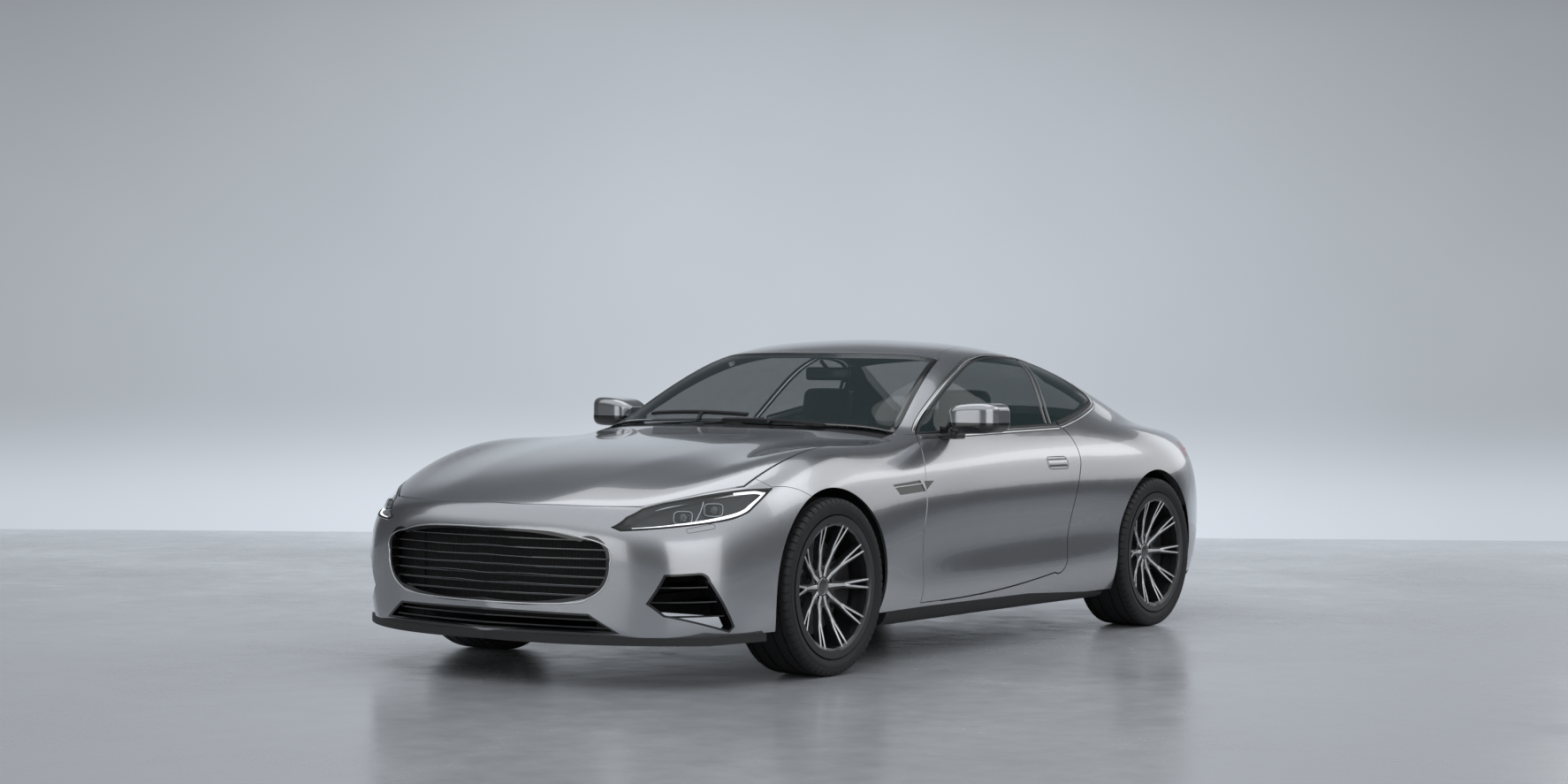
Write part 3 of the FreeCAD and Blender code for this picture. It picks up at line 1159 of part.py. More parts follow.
os.makedirs("parts", exist_ok=True)
for part in NODES:
    part.Shape.exportStep("parts/%s.step" % part.Label)
print("%d nodes" % len(NODES))
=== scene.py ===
import json
import math

import bmesh
import bpy
import numpy as np
from bpy.props import FloatProperty, FloatVectorProperty, IntProperty, PointerProperty
from bpy.types import Operator, Panel, PropertyGroup
from mathutils import Matrix, Vector
from mathutils.bvhtree import BVHTree

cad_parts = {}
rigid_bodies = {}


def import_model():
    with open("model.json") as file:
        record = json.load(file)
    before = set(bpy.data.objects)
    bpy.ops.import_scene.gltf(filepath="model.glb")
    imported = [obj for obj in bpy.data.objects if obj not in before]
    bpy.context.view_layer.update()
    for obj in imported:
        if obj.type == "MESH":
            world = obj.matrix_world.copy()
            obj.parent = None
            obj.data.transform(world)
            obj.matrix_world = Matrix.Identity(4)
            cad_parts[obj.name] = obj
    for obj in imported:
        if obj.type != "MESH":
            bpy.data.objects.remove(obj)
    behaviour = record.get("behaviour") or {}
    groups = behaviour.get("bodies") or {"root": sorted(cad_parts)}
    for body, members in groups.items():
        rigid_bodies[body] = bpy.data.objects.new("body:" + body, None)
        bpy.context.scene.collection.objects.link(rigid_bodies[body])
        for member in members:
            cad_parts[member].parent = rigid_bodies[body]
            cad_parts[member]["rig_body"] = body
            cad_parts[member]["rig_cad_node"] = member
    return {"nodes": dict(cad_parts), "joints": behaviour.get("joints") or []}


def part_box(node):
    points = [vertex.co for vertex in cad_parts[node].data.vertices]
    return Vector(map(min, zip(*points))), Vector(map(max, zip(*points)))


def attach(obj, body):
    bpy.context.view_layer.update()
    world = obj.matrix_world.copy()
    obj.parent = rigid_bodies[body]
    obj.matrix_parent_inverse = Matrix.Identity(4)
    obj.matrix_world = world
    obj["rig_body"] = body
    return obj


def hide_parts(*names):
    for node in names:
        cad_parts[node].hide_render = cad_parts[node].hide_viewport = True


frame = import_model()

bl_info = {
    "name": "Coupe car finishes",
    "version": (1, 0, 0),
    "blender": (4, 5, 0),
    "location": "View3D > Sidebar > Coupe",
    "description": "Paint, glass, wheels, lamps, trim and cabin for a packed coupe car",
    "category": "Object",
}

NODES = frame["nodes"]
JOINTS = {joint["name"]: joint for joint in frame["joints"]}
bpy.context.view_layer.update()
SIDES = ((-1, "left"), (1, "right"))
WHEELS = {
    name[5:]: Vector(joint["pos_m"])
    for name, joint in JOINTS.items() if name.startswith("spin_")
}


# ---------------------------------------------------------------------------------------
# Sizes and colours
# ---------------------------------------------------------------------------------------
def colour(name, text, value):
    return FloatVectorProperty(name=name, description=text, subtype="COLOR", size=3,
                               min=0, max=1, default=value)


def length(name, text, value):
    return FloatProperty(name=name, description=text, unit="LENGTH", min=0, default=value)


def brightness(name, text, value):
    return FloatProperty(name=name, description=text, min=0, default=value)


def number(name, text, least, value):
    return IntProperty(name=name, description=text, min=least, default=value)


class CoupeColours(PropertyGroup):
    """Colours of the car's finishes."""

    paint: colour("Paint", "Silver metallic body paint", (0.40, 0.41, 0.43))
    glass: colour("Glass", "Tint of the windows", (0.040, 0.060, 0.064))
    gloss_black: colour("Gloss black", "Grilles, seals and blades", (0.006, 0.006, 0.007))
    rubber: colour("Rubber", "Tyres", (0.008, 0.008, 0.009))
    leather: colour("Leather", "Seats", (0.022, 0.022, 0.023))
    machined: colour("Machined alloy", "Faces of the spokes", (0.80, 0.80, 0.81))
    pocket: colour("Wheel pocket", "Painted flanks of the spokes", (0.018, 0.018, 0.020))
    tail_red: colour("Tail red", "Rear lamps", (0.30, 0.008, 0.010))


class CoupeTrim(PropertyGroup):
    """Sizes of the trim that is added to the frame."""

    seal: length("Seal width", "Black rubber round the side glass", 0.012)
    bright_trim: length("Bright trim width", "Silver strip round the side glass", 0.013)
    spokes: number("Spokes", "Spokes in each wheel", 3, 10)
    nuts: number("Nuts", "Wheel nuts", 3, 5)
    tread_blocks: number("Tread blocks", "Blocks round a tyre's shoulder", 12, 64)


class CoupeStage(PropertyGroup):
    """Floor, backdrop and lights."""

    floor: colour("Floor", "Pale floor", (0.37, 0.38, 0.40))
    wall: colour("Backdrop", "Wall behind the car", (0.42, 0.45, 0.49))
    sky: brightness("Fill light", "Strength of the light from above", 0.95)
    dusk: brightness("Horizon", "Share of the fill light that is left at the horizon", 0.10)
    top_light: brightness("Top light", "Brightness of the overhead softbox", 0.8)
    side_light: brightness("Side light", "Brightness of the softboxes beside the car", 1.1)
    front_light: brightness("Front light", "Brightness of the softboxes before the car", 1.1)


def colours():
    return bpy.context.scene.coupe_colours


def trim():
    return bpy.context.scene.coupe_trim


def stage():
    return bpy.context.scene.coupe_stage


# ---------------------------------------------------------------------------------------
# The skin: the surface that every outer panel lies on. Each row is a half section from the
# underside to the centre line of the top, in metres: x at the widest point, x at the
# centre line above and below, floor height, then (half width, height) of sill, side,
# shoulder, crest, belt, rail, the top's height, how far the flank flares out below, and how
# sharp the bonnet's crease is.
# ---------------------------------------------------------------------------------------
SECTIONS = (
    (-2.362, -2.362, -2.362, .400, (.150, .402), (.260, .450), (.255, .490),
     (.210, .520), (.150, .530), (.080, .533), .534, .000, 0),
    (-2.300, -2.366, -2.368, .316, (.400, .320), (.545, .440), (.535, .530),
     (.450, .580), (.340, .596), (.190, .602), .604, .000, .4),
    (-2.215, -2.350, -2.368, .200, (.620, .200), (.735, .400), (.710, .560),
     (.610, .635), (.460, .655), (.250, .668), .672, .000, .7),
    (-2.110, -2.290, -2.330, .165, (.790, .180), (.840, .410), (.815, .590),
     (.710, .675), (.530, .698), (.285, .712), .716, .000, .9),
    (-1.950, -2.150, -2.150, .160, (.880, .185), (.908, .420), (.892, .610),
     (.790, .748), (.600, .752), (.325, .770), .776, .000, 1),
    (-1.740, -1.880, -1.800, .155, (.920, .190), (.952, .430), (.940, .650),
     (.855, .838), (.665, .815), (.350, .838), .846, .000, 1),
    (-1.500, -1.600, -1.500, .150, (.930, .190), (.978, .440), (.968, .675),
     (.872, .920), (.690, .865), (.365, .884), .892, .000, 1),
    (-1.250, -1.300, -1.250, .150, (.925, .190), (.985, .440), (.972, .680),
     (.872, .955), (.715, .892), (.375, .916), .925, .000, .9),
    (-.950, -.960, -.950, .150, (.908, .185), (.958, .430), (.960, .680),
     (.864, .935), (.745, .905), (.390, .942), .952, .000, .7),
    (-.720, -.780, -.700, .150, (.900, .180), (.937, .430), (.952, .685),
     (.861, .916), (.770, .925), (.430, .962), .972, .006, .3),
    (-.560, -.680, -.600, .150, (.898, .180), (.928, .430), (.945, .690),
     (.858, .910), (.792, .955), (.606, .988), 1.000, .012, 0),
    (-.280, -.400, -.300, .150, (.895, .180), (.925, .430), (.945, .690),
     (.865, .900), (.812, .965), (.698, 1.128), 1.154, .020, 0),
    (.040, -.060, .000, .150, (.893, .180), (.925, .430), (.948, .690),
     (.872, .900), (.815, .968), (.634, 1.290), 1.324, .024, 0),
    (.300, .250, .300, .150, (.893, .180), (.928, .430), (.950, .690),
     (.875, .905), (.815, .972), (.594, 1.332), 1.380, .027, 0),
    (.700, .700, .700, .150, (.895, .180), (.938, .435), (.960, .700),
     (.880, .915), (.815, .985), (.588, 1.314), 1.369, .030, 0),
    (1.020, 1.080, 1.000, .150, (.900, .182), (.960, .440), (.975, .715),
     (.885, .930), (.815, 1.000), (.605, 1.243), 1.320, .030, 0),
    (1.300, 1.400, 1.300, .150, (.915, .185), (.980, .450), (.987, .730),
     (.885, .945), (.800, .985), (.655, 1.135), 1.220, .022, 0),
    (1.560, 1.680, 1.560, .152, (.925, .190), (.984, .460), (.984, .730),
     (.880, .945), (.780, .960), (.680, 1.005), 1.095, .014, 0),
    (1.820, 1.920, 1.820, .160, (.915, .200), (.960, .470), (.955, .730),
     (.855, .925), (.730, .945), (.480, .985), 1.000, .008, 0),
    (2.050, 2.130, 2.080, .175, (.860, .220), (.905, .480), (.900, .720),
     (.800, .905), (.670, .930), (.420, .960), .968, .000, 0),
    (2.200, 2.320, 2.270, .200, (.770, .250), (.815, .500), (.810, .700),
     (.720, .880), (.600, .915), (.380, .945), .955, .000, 0),
    (2.290, 2.366, 2.340, .260, (.640, .300), (.690, .500), (.690, .660),
     (.620, .790), (.520, .830), (.330, .850), .858, .000, 0),
    (2.367, 2.367, 2.367, .420, (.330, .430), (.380, .500), (.380, .600),
     (.340, .680), (.290, .700), (.180, .705), .706, .000, 0),
)
SECTION_BULGE = 0.012
FLARE_HOLLOW = 0.7
FLARE_LIFT = 1.2
CREASE_REACH = 0.062
ROOF_SHARE, ROOF_RISE = 0.55, 0.72
CREASE_DROP = 0.003
UPPER_POINTS_FROM = 6
SKIN_STEPS = (460, 420)
CAST_NUDGES = (0, 1e-4, -1e-4, 5e-4)


def skin_net():
    """Control points of the skin, one closed row per section."""
    net = []
    for x_wide, x_top, x_low, low, sill, side, shoulder, crest, belt, rail, top, flare, crease in SECTIONS:
        def eased(soft, reach, drop):
            sharp = (rail[0] + reach, rail[1] - drop)
            return soft[0] + (sharp[0] - soft[0]) * crease, soft[1] + (sharp[1] - soft[1]) * crease

        half = [(0, low), (0.6 * sill[0], low), (sill[0] - 0.040, low), sill,
                ((sill[0] + side[0]) / 2 + SECTION_BULGE + flare,
                 (sill[1] + side[1]) / 2 + FLARE_LIFT * flare),
                (side[0] - FLARE_HOLLOW * flare, side[1] + FLARE_LIFT * flare), shoulder, crest, belt,
                eased(((belt[0] + rail[0]) / 2 + SECTION_BULGE, (belt[1] + rail[1] + SECTION_BULGE) / 2),
                      CREASE_REACH, CREASE_DROP),
                rail,
                eased((ROOF_SHARE * rail[0], rail[1] + ROOF_RISE * (top - rail[1])),
                      -CREASE_REACH, -CREASE_DROP / 2),
                (0, top)]
        widest = max(y for y, z in half)
        row = []
        for k, (y, z) in enumerate(half):
            x_centre = x_top if k >= UPPER_POINTS_FROM else x_low
            row.append((x_wide + (x_centre - x_wide) * (1 - (y / widest) ** 2), y, z))
        net.append([(x, -y, z) for x, y, z in row] + row[-2::-1])
    return np.array(net)


def basis(count, places, order=4):
    """Values of the clamped even B-spline basis, and their slopes, at places from 0 to 1."""
    spans = count - order + 1
    knots = np.concatenate([np.zeros(order - 1), np.linspace(0, 1, spans + 1), np.ones(order - 1)])
    index = np.clip((places * spans).astype(int), 0, spans - 1) + order - 1
    table = np.zeros((len(places), len(knots) - 1))
    table[np.arange(len(places)), index] = 1
    for degree in range(1, order):
        lower = table
        table = np.zeros((len(places), len(knots) - 1 - degree))
        for k in range(table.shape[1]):
            rise, fall = knots[k + degree] - knots[k], knots[k + degree + 1] - knots[k + 1]
            if rise > 0:
                table[:, k] += (places - knots[k]) / rise * lower[:, k]
            if fall > 0:
                table[:, k] += (knots[k + degree + 1] - places) / fall * lower[:, k + 1]
    slopes = np.zeros_like(table)
    degree = order - 1
    for k in range(table.shape[1]):
        rise, fall = knots[k + degree] - knots[k], knots[k + degree + 1] - knots[k + 1]
        if rise > 0:
            slopes[:, k] += degree / rise * lower[:, k]
        if fall > 0:
            slopes[:, k] -= degree / fall * lower[:, k + 1]
    return table, slopes


class Skin:
    """The skin as a fine grid with true normals, and what is measured on it."""

    def __init__(self):
        rows, columns = SKIN_STEPS
        net = skin_net()
        along, along_slope = basis(net.shape[0], np.linspace(0, 1, rows))
        around, around_slope = basis(net.shape[1], np.linspace(0, 1, columns))
        points = np.einsum("ai,ijk,bj->abk", along, net, around)
        tangent = np.einsum("ai,ijk,bj->abk", along_slope, net, around)
        girth = np.einsum("ai,ijk,bj->abk", along, net, around_slope)
        normals = np.cross(tangent, girth)
        normals /= np.maximum(np.linalg.norm(normals, axis=2, keepdims=True), 1e-12)
        if normals[rows // 2, columns // 2, 2] < 0:
            normals = -normals
        ends = points[[0, -1]].mean(axis=1)
        self.points = np.concatenate([points.reshape(-1, 3), ends])
        self.normals = np.concatenate([normals.reshape(-1, 3), [(-1, 0, 0), (1, 0, 0)]])
        corner = (np.arange(rows - 1)[:, None] * columns + np.arange(columns - 1)).ravel()
        faces = [np.stack([corner, corner + 1, corner + columns + 1, corner + columns], axis=1)]
        for middle, first in ((rows * columns, 0), (rows * columns + 1, (rows - 1) * columns)):
            rim = first + np.arange(columns - 1)
            hub = np.full_like(rim, middle)
            faces.append(np.stack([hub, rim, rim + 1, hub], axis=1))
        self.faces = np.concatenate(faces)
        self.tree = BVHTree.FromPolygons([Vector(p) for p in self.points], self.faces.tolist())

    def normal_at(self, point, face):
        """The true normal near a point on a face of the grid, blended from its corners."""
        corners = self.faces[face]
        gaps = np.linalg.norm(self.points[corners] - np.array(point), axis=1)
        weights = 1 / np.maximum(gaps, 1e-7)
        normal = (self.normals[corners] * weights[:, None]).sum(0)
        return Vector(normal / np.linalg.norm(normal))

    def nearest(self, point):
        place, _, face, distance = self.tree.find_nearest(point)
        return place, self.normal_at(place, face), distance

    def cast(self, start, way):
        for nudge in CAST_NUDGES:
            begin = Vector(start) + Vector((nudge, nudge, nudge))
            place, _, face, _ = self.tree.ray_cast(begin, Vector(way))
            if place is not None:
                return place, self.normal_at(place, face)
        raise RuntimeError("no skin at %s" % (tuple(start),))

    def side(self, x, z, side):
        """Place and normal seen from the left (-1) or the right (1)."""
        return self.cast((x, side * 2, z), (0, -side, 0))

    def top(self, x, y):
        return self.cast((x, y, 3), (0, 0, -1))

    def front(self, y, z):
        return self.cast((-4, y, z), (1, 0, 0))

    def rear(self, y, z):
        return self.cast((4, y, z), (-1, 0, 0))


skin = Skin()


# ---------------------------------------------------------------------------------------
# Making and placing pieces
# ---------------------------------------------------------------------------------------
def deselect():
    if bpy.context.mode != "OBJECT":
        bpy.ops.object.mode_set(mode="OBJECT")
    bpy.ops.object.select_all(action="DESELECT")


def take(*pieces):
    """Select pieces, the first of them active."""
    deselect()
    for piece in pieces:
        piece.hide_set(False)
        piece.select_set(True)
    bpy.context.view_layer.objects.active = pieces[0]


def duplicate(piece):
    take(piece)
    bpy.ops.object.duplicate()
    return bpy.context.view_layer.objects.active


def settle(piece, body, material=None, stands_for=()):
    """A finished piece: its place goes into its mesh, and it rides on its body."""
    take(piece)
    bpy.ops.object.transform_apply(location=True, rotation=True, scale=True)
    if material:
        piece.data.materials.clear()
        piece.data.materials.append(material)
    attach(piece, body)
    if stands_for:
        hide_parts(*stands_for)
    return piece


def mesh_piece(name, points, faces):
    mesh = bpy.data.meshes.new(name)
    mesh.from_pydata([tuple(p) for p in points], [], faces)
    mesh.update()
    piece = bpy.data.objects.new(name, mesh)
    bpy.context.scene.collection.objects.link(piece)
    return piece


def join(name, pieces):
    """Several pieces as one mesh."""
    take(*pieces)
    if len(pieces) > 1:
        bpy.ops.object.join()
    piece = bpy.context.view_layer.objects.active
    piece.name = name
    piece.data.name = name
    return piece


def modify(piece, kind, **values):
    take(piece)
    modifier = piece.modifiers.new(kind.lower(), kind)
    for key, value in values.items():
        setattr(modifier, key, value)
    bpy.ops.object.modifier_apply(modifier=modifier.name)
    return piece


def smooth(piece, degrees=35):
    take(piece)
    bpy.ops.object.shade_smooth_by_angle(angle=math.radians(degrees))
    return piece


def outward(piece):
    """Doubles merged and every face turned outwards."""
    take(piece)
    bpy.ops.object.mode_set(mode="EDIT")
    bpy.ops.mesh.select_all(action="SELECT")
    bpy.ops.mesh.remove_doubles(threshold=1e-5)
    bpy.ops.mesh.normals_make_consistent(inside=False)
    bpy.ops.object.mode_set(mode="OBJECT")
    return piece


def bend(points, steps=10):
    """Points along an outline of corners and arcs. A pair of points is an arc through the first."""
    path = [Vector(points[0])]
    for item in points[1:]:
        if not isinstance(item[0], tuple):
            path.append(Vector(item))
            continue
        start, through, end = path[-1], Vector(item[0]), Vector(item[1])
        control = 2 * through - (start + end) / 2
        for k in range(1, steps + 1):
            t = k / steps
            path.append((1 - t) ** 2 * start + 2 * t * (1 - t) * control + t * t * end)
    return path


def even(path, step, closed=False):
    """The same line with its points a like distance apart."""
    ring = path + path[:1] if closed else path
    lengths = [0.0]
    for a, b in zip(ring, ring[1:]):
        lengths.append(lengths[-1] + (b - a).length)
    count = max(3, round(lengths[-1] / step))
    found, k = [], 0
    for n in range(count + (0 if closed else 1)):
        goal = lengths[-1] * n / count
        while k < len(ring) - 2 and lengths[k + 1] < goal:
            k += 1
        share = (goal - lengths[k]) / max(lengths[k + 1] - lengths[k], 1e-9)
        found.append(ring[k].lerp(ring[k + 1], min(1, share)))
    return found


def sweep(name, places, profile, closed=False, scales=None):
    """A strip along (point, normal) places. profile is a ring of (across, out) points."""
    count = len(places)
    points, faces = [], []
    for k, (point, normal) in enumerate(places):
        after = places[(k + 1) % count if closed else min(k + 1, count - 1)][0]
        before = places[k - 1 if closed or k else 0][0]
        along = (after - before).normalized()
        across = along.cross(normal).normalized()
        out = across.cross(along).normalized()
        wide = scales[k] if scales else 1
        points += [point + across * a * wide + out * b for a, b in profile]
    ring = len(profile)
    for k in range(count if closed else count - 1):
        here, there = k * ring, (k + 1) % count * ring
        for j in range(ring):
            faces.append((here + j, here + (j + 1) % ring, there + (j + 1) % ring, there + j))
    if not closed:
        faces += [tuple(range(ring))[::-1], tuple((count - 1) * ring + j for j in range(ring))]
    return outward(mesh_piece(name, points, faces))


def bead(width, height, sink=0.0, steps=4, centre=0.0):
    """A half-round profile that stands on a surface: (across, out) points."""
    ring = [(centre + width / 2 * math.cos(math.pi * k / steps), height * math.sin(math.pi * k / steps))
            for k in range(steps + 1)]
    return ring + [(centre - width / 2, -sink), (centre + width / 2, -sink)] if sink else ring


def strip(width, height, sink, round_=0.25, centre=0.0):
    """A flat profile with eased corners."""
    e = min(width, height + sink) * round_
    left, right = centre - width / 2, centre + width / 2
    return [(left, -sink), (right, -sink), (right, height - e),
            (right - e, height), (left + e, height), (left, height - e)]


# ---------------------------------------------------------------------------------------
# Shader groups that several finishes share
# ---------------------------------------------------------------------------------------
def add(tree, kind, inputs=None, **settings):
    """A node with its settings, its plain inputs and its links."""
    made = tree.nodes.new(kind)
    for key, value in settings.items():
        setattr(made, key, value)
    for key, value in (inputs or {}).items():
        if isinstance(value, bpy.types.NodeSocket):
            tree.links.new(value, made.inputs[key])
        else:
            made.inputs[key].default_value = value
    return made


def place(tree, group, **inputs):
    """A shared group put into a material."""
    named = {key.replace("_", " "): value for key, value in inputs.items()}
    return add(tree, "ShaderNodeGroup", named, node_tree=GROUPS[group]).outputs


def mapped(tree):
    """Each point's place on its own object."""
    return add(tree, "ShaderNodeTexCoord").outputs["Object"]


def worked(tree, operation, *values):
    """The result of a sum on numbers or links."""
    return add(tree, "ShaderNodeMath", dict(enumerate(values)), operation=operation).outputs[0]


def ranged(tree, value, low, high, start, end, easing="LINEAR"):
    """A value taken from low..high to start..end, and held at both ends."""
    return add(tree, "ShaderNodeMapRange", {
        "Value": value, "From Min": low, "From Max": high, "To Min": start, "To Max": end},
        interpolation_type=easing).outputs[0]


def noise(tree, scale, detail, **more):
    """Cloudy noise over the object."""
    return add(tree, "ShaderNodeTexNoise", {
        "Vector": mapped(tree), "Scale": scale, "Detail": detail, **more}).outputs["Fac"]


def tinted(tree, shade, by):
    """A colour made lighter or darker by a number."""
    return add(tree, "ShaderNodeVectorMath", {0: shade, "Scale": by}, operation="SCALE").outputs[0]


GROUPS = {}
GREY = (0.5, 0.5, 0.5, 1)
FINE_PORES = 1400.0


def new_group(name, inputs, outputs):
    """An empty shader group; inputs gives defaults by name. Only Colour is a colour."""
    tree = bpy.data.node_groups.new(name, "ShaderNodeTree")
    kinds = {"Colour": "NodeSocketColor"}
    for label, value in inputs.items():
        socket = tree.interface.new_socket(label, in_out="INPUT",
                                           socket_type=kinds.get(label, "NodeSocketFloat"))
        socket.default_value = value
    for label in outputs:
        tree.interface.new_socket(label, in_out="OUTPUT",
                                  socket_type=kinds.get(label, "NodeSocketFloat"))
    return tree, add(tree, "NodeGroupInput").outputs, add(tree, "NodeGroupOutput").inputs


def give(tree, wanted, **values):
    """Link a group's results to its outputs."""
    for key, value in values.items():
        tree.links.new(value, wanted[key])
    return tree


def make_mottle():
    """A colour and a roughness that wander slowly over the surface."""
    tree, given, wanted = new_group("mottle", {
        "Colour": GREY, "Amount": 0.1, "Scale": 6.0, "Roughness": 0.4,
        "Roughness spread": 0.05}, ("Colour", "Roughness"))
    shade = ranged(tree, noise(tree, given["Scale"], 6.0, Roughness=0.6), 0.3, 0.7, -1.0, 1.0)
    scale = worked(tree, "ADD", worked(tree, "MULTIPLY", shade, given["Amount"]), 1.0)
    rough = worked(tree, "MULTIPLY_ADD", shade, given["Roughness spread"], given["Roughness"])
    return give(tree, wanted, Colour=tinted(tree, given["Colour"], scale), Roughness=rough)


def make_grain():
    """Height of a leather or moulded grain: closed cells with fine pores."""
    tree, given, wanted = new_group("grain", {"Scale": 300.0, "Pores": 0.3}, ("Height",))
    cells = add(tree, "ShaderNodeTexVoronoi", {
        "Vector": mapped(tree), "Scale": given["Scale"], "Randomness": 0.9},
        feature="DISTANCE_TO_EDGE")
    rounded = ranged(tree, cells.outputs["Distance"], 0.0, 0.25, 0.0, 1.0, "SMOOTHSTEP")
    pores = noise(tree, FINE_PORES, 2.0)
    return give(tree, wanted,
                Height=worked(tree, "MULTIPLY_ADD", pores, given["Pores"], rounded))


def make_flake():
    """Metallic flake: a colour that sparkles from grain to grain, and its tilt."""
    tree, given, wanted = new_group("flake", {
        "Colour": GREY, "Scale": 900.0, "Sparkle": 0.2}, ("Colour", "Height"))
    cells = add(tree, "ShaderNodeTexVoronoi", {"Vector": mapped(tree), "Scale": given["Scale"]},
                feature="F1")
    value = add(tree, "ShaderNodeSeparateColor", {0: cells.outputs["Color"]}).outputs
    swing = ranged(tree, value[0], 0.0, 1.0, -1.0, 1.0)
    lift = worked(tree, "MULTIPLY_ADD", swing, given["Sparkle"], 1.0)
    return give(tree, wanted, Colour=tinted(tree, given["Colour"], lift), Height=value[1])


def make_turned():
    """Fine rings round the nearest axle, as left by a lathe."""
    tree, given, wanted = new_group("turned", {"Scale": 900.0, "Depth": 1.0}, ("Height", "Radius"))
    parts = add(tree, "ShaderNodeSeparateXYZ", {0: mapped(tree)}).outputs
    front, rear = WHEELS["front_left"], WHEELS["rear_left"]
    behind = worked(tree, "GREATER_THAN", parts[0], 0.0)
    axle = worked(tree, "MULTIPLY_ADD", behind, rear.x - front.x, front.x)
    arm = add(tree, "ShaderNodeCombineXYZ", {
        0: worked(tree, "SUBTRACT", parts[0], axle), 1: worked(tree, "SUBTRACT", parts[2], front.z)})
    radius = add(tree, "ShaderNodeVectorMath", {0: arm.outputs[0]},
                 operation="LENGTH").outputs["Value"]
    rings = add(tree, "ShaderNodeTexNoise", {"W": radius, "Scale": given["Scale"], "Detail": 2.0},
                noise_dimensions="1D").outputs["Fac"]
    return give(tree, wanted, Height=worked(tree, "MULTIPLY", rings, given["Depth"]), Radius=radius)


def make_dust():
    """A dust mask that thickens towards the ground."""
    tree, given, wanted = new_group("dust", {"Height": 0.25, "Amount": 0.3}, ("Mask",))
    level = add(tree, "ShaderNodeSeparateXYZ", {0: mapped(tree)}).outputs[2]
    low = ranged(tree, level, 0.0, given["Height"], 1.0, 0.0)
    mask = worked(tree, "MULTIPLY", low, noise(tree, 28.0, 5.0))
    return give(tree, wanted, Mask=worked(tree, "MULTIPLY", mask, given["Amount"]))


# ---------------------------------------------------------------------------------------
# Finishes
# ---------------------------------------------------------------------------------------
ROAD_DUST = (0.10, 0.095, 0.09, 1)
def blank(name):
    material = bpy.data.materials.new(name)
    material.use_nodes = True
    tree = material.node_tree
    tree.nodes.clear()
    shader = add(tree, "ShaderNodeBsdfPrincipled")
    out = add(tree, "ShaderNodeOutputMaterial")
    tree.links.new(shader.outputs[0], out.inputs[0])
    return material, tree, shader


def varied_finish(name, rgb, amount, scale, roughness, spread, **plain):
    """A material whose colour and roughness wander; plain sets the shader's other values."""
    material, tree, shader = blank(name)
    varied = place(tree, "mottle", Colour=(*rgb, 1), Amount=amount, Scale=scale,
                   Roughness=roughness, Roughness_spread=spread)
    tree.links.new(varied["Colour"], shader.inputs["Base Color"])
    tree.links.new(varied["Roughness"], shader.inputs["Roughness"])
    for key, value in plain.items():
        shader.inputs[key.replace("_", " ")].default_value = value
    return material, tree, shader, varied


def bump(tree, shader, height, strength, distance, after=None):
    made = add(tree, "ShaderNodeBump", {"Height": height, "Strength": strength, "Distance": distance})
    if after:
        tree.links.new(after, made.inputs["Normal"])
    tree.links.new(made.outputs[0], shader.inputs["Normal"])
    return made.outputs[0]


def paint_finish(name, rgb):
    material, tree, shader, varied = varied_finish(
        name, rgb, 0.012, 3.0, 0.20, 0.01, Metallic=0.82, Coat_Weight=1.0, Coat_Roughness=0.025)
    flake = place(tree, "flake", Colour=varied["Colour"], Scale=1100.0, Sparkle=0.10)
    tree.links.new(flake["Colour"], shader.inputs["Base Color"])
    return material


def plastic_finish(name, rgb, roughness, grain=0.0, scale=500.0, coat=0.0):
    material, tree, shader, _ = varied_finish(
        name, rgb, 0.05, 9.0, roughness, 0.03, Coat_Weight=coat, Coat_Roughness=0.03)
    if grain:
        cells = place(tree, "grain", Scale=scale, Pores=0.3)
        bump(tree, shader, cells["Height"], grain, 0.0006)
    return material


def metal_finish(name, rgb, roughness, rings=0.0, amount=0.04, metallic=1.0):
    material, tree, shader, _ = varied_finish(
        name, rgb, amount, 14.0, roughness, 0.04, Metallic=metallic)
    if rings:
        lathe = place(tree, "turned", Scale=1100.0)
        bump(tree, shader, lathe["Height"], rings, 0.0004)
    return material


def glass_finish(name, rgb, tint):
    """Clear or tinted glass as a thin pane that light passes straight through."""
    material, _, shader = blank(name)
    for key, value in (("Base Color", (*rgb, 1)), ("Roughness", 0.0), ("IOR", 1.45),
                       ("Alpha", tint), ("Specular IOR Level", 0.9)):
        shader.inputs[key].default_value = value
    return material


def rubber_finish():
    material, tree, shader, varied = varied_finish(
        "tyre_rubber", colours().rubber, 0.18, 22.0, 0.62, 0.07)
    dusty = place(tree, "dust", Height=0.10, Amount=0.12)
    mixed = add(tree, "ShaderNodeMix", {0: dusty["Mask"], 6: varied["Colour"], 7: ROAD_DUST},
                data_type="RGBA")
    tree.links.new(mixed.outputs[2], shader.inputs["Base Color"])
    rings = place(tree, "turned", Scale=260.0)
    turned = bump(tree, shader, rings["Height"], 0.18, 0.0006)
    cells = place(tree, "grain", Scale=700.0, Pores=0.6)
    bump(tree, shader, cells["Height"], 0.12, 0.0004, turned)
    return material


def leather_finish():
    material, tree, shader, _ = varied_finish(
        "leather", colours().leather, 0.14, 11.0, 0.46, 0.06, Sheen_Weight=0.15)
    cells = place(tree, "grain", Scale=420.0, Pores=0.5)
    bump(tree, shader, cells["Height"], 0.35, 0.0007)
    return material


def glow_finish(name, rgb, strength):
    material, tree, shader = blank(name)
    varied = place(tree, "mottle", Colour=(*rgb, 1), Amount=0.04, Scale=40.0)
    for key in ("Base Color", "Emission Color"):
        tree.links.new(varied["Colour"], shader.inputs[key])
    shader.inputs["Emission Strength"].default_value = strength
    shader.inputs["Roughness"].default_value = 0.2
    return material


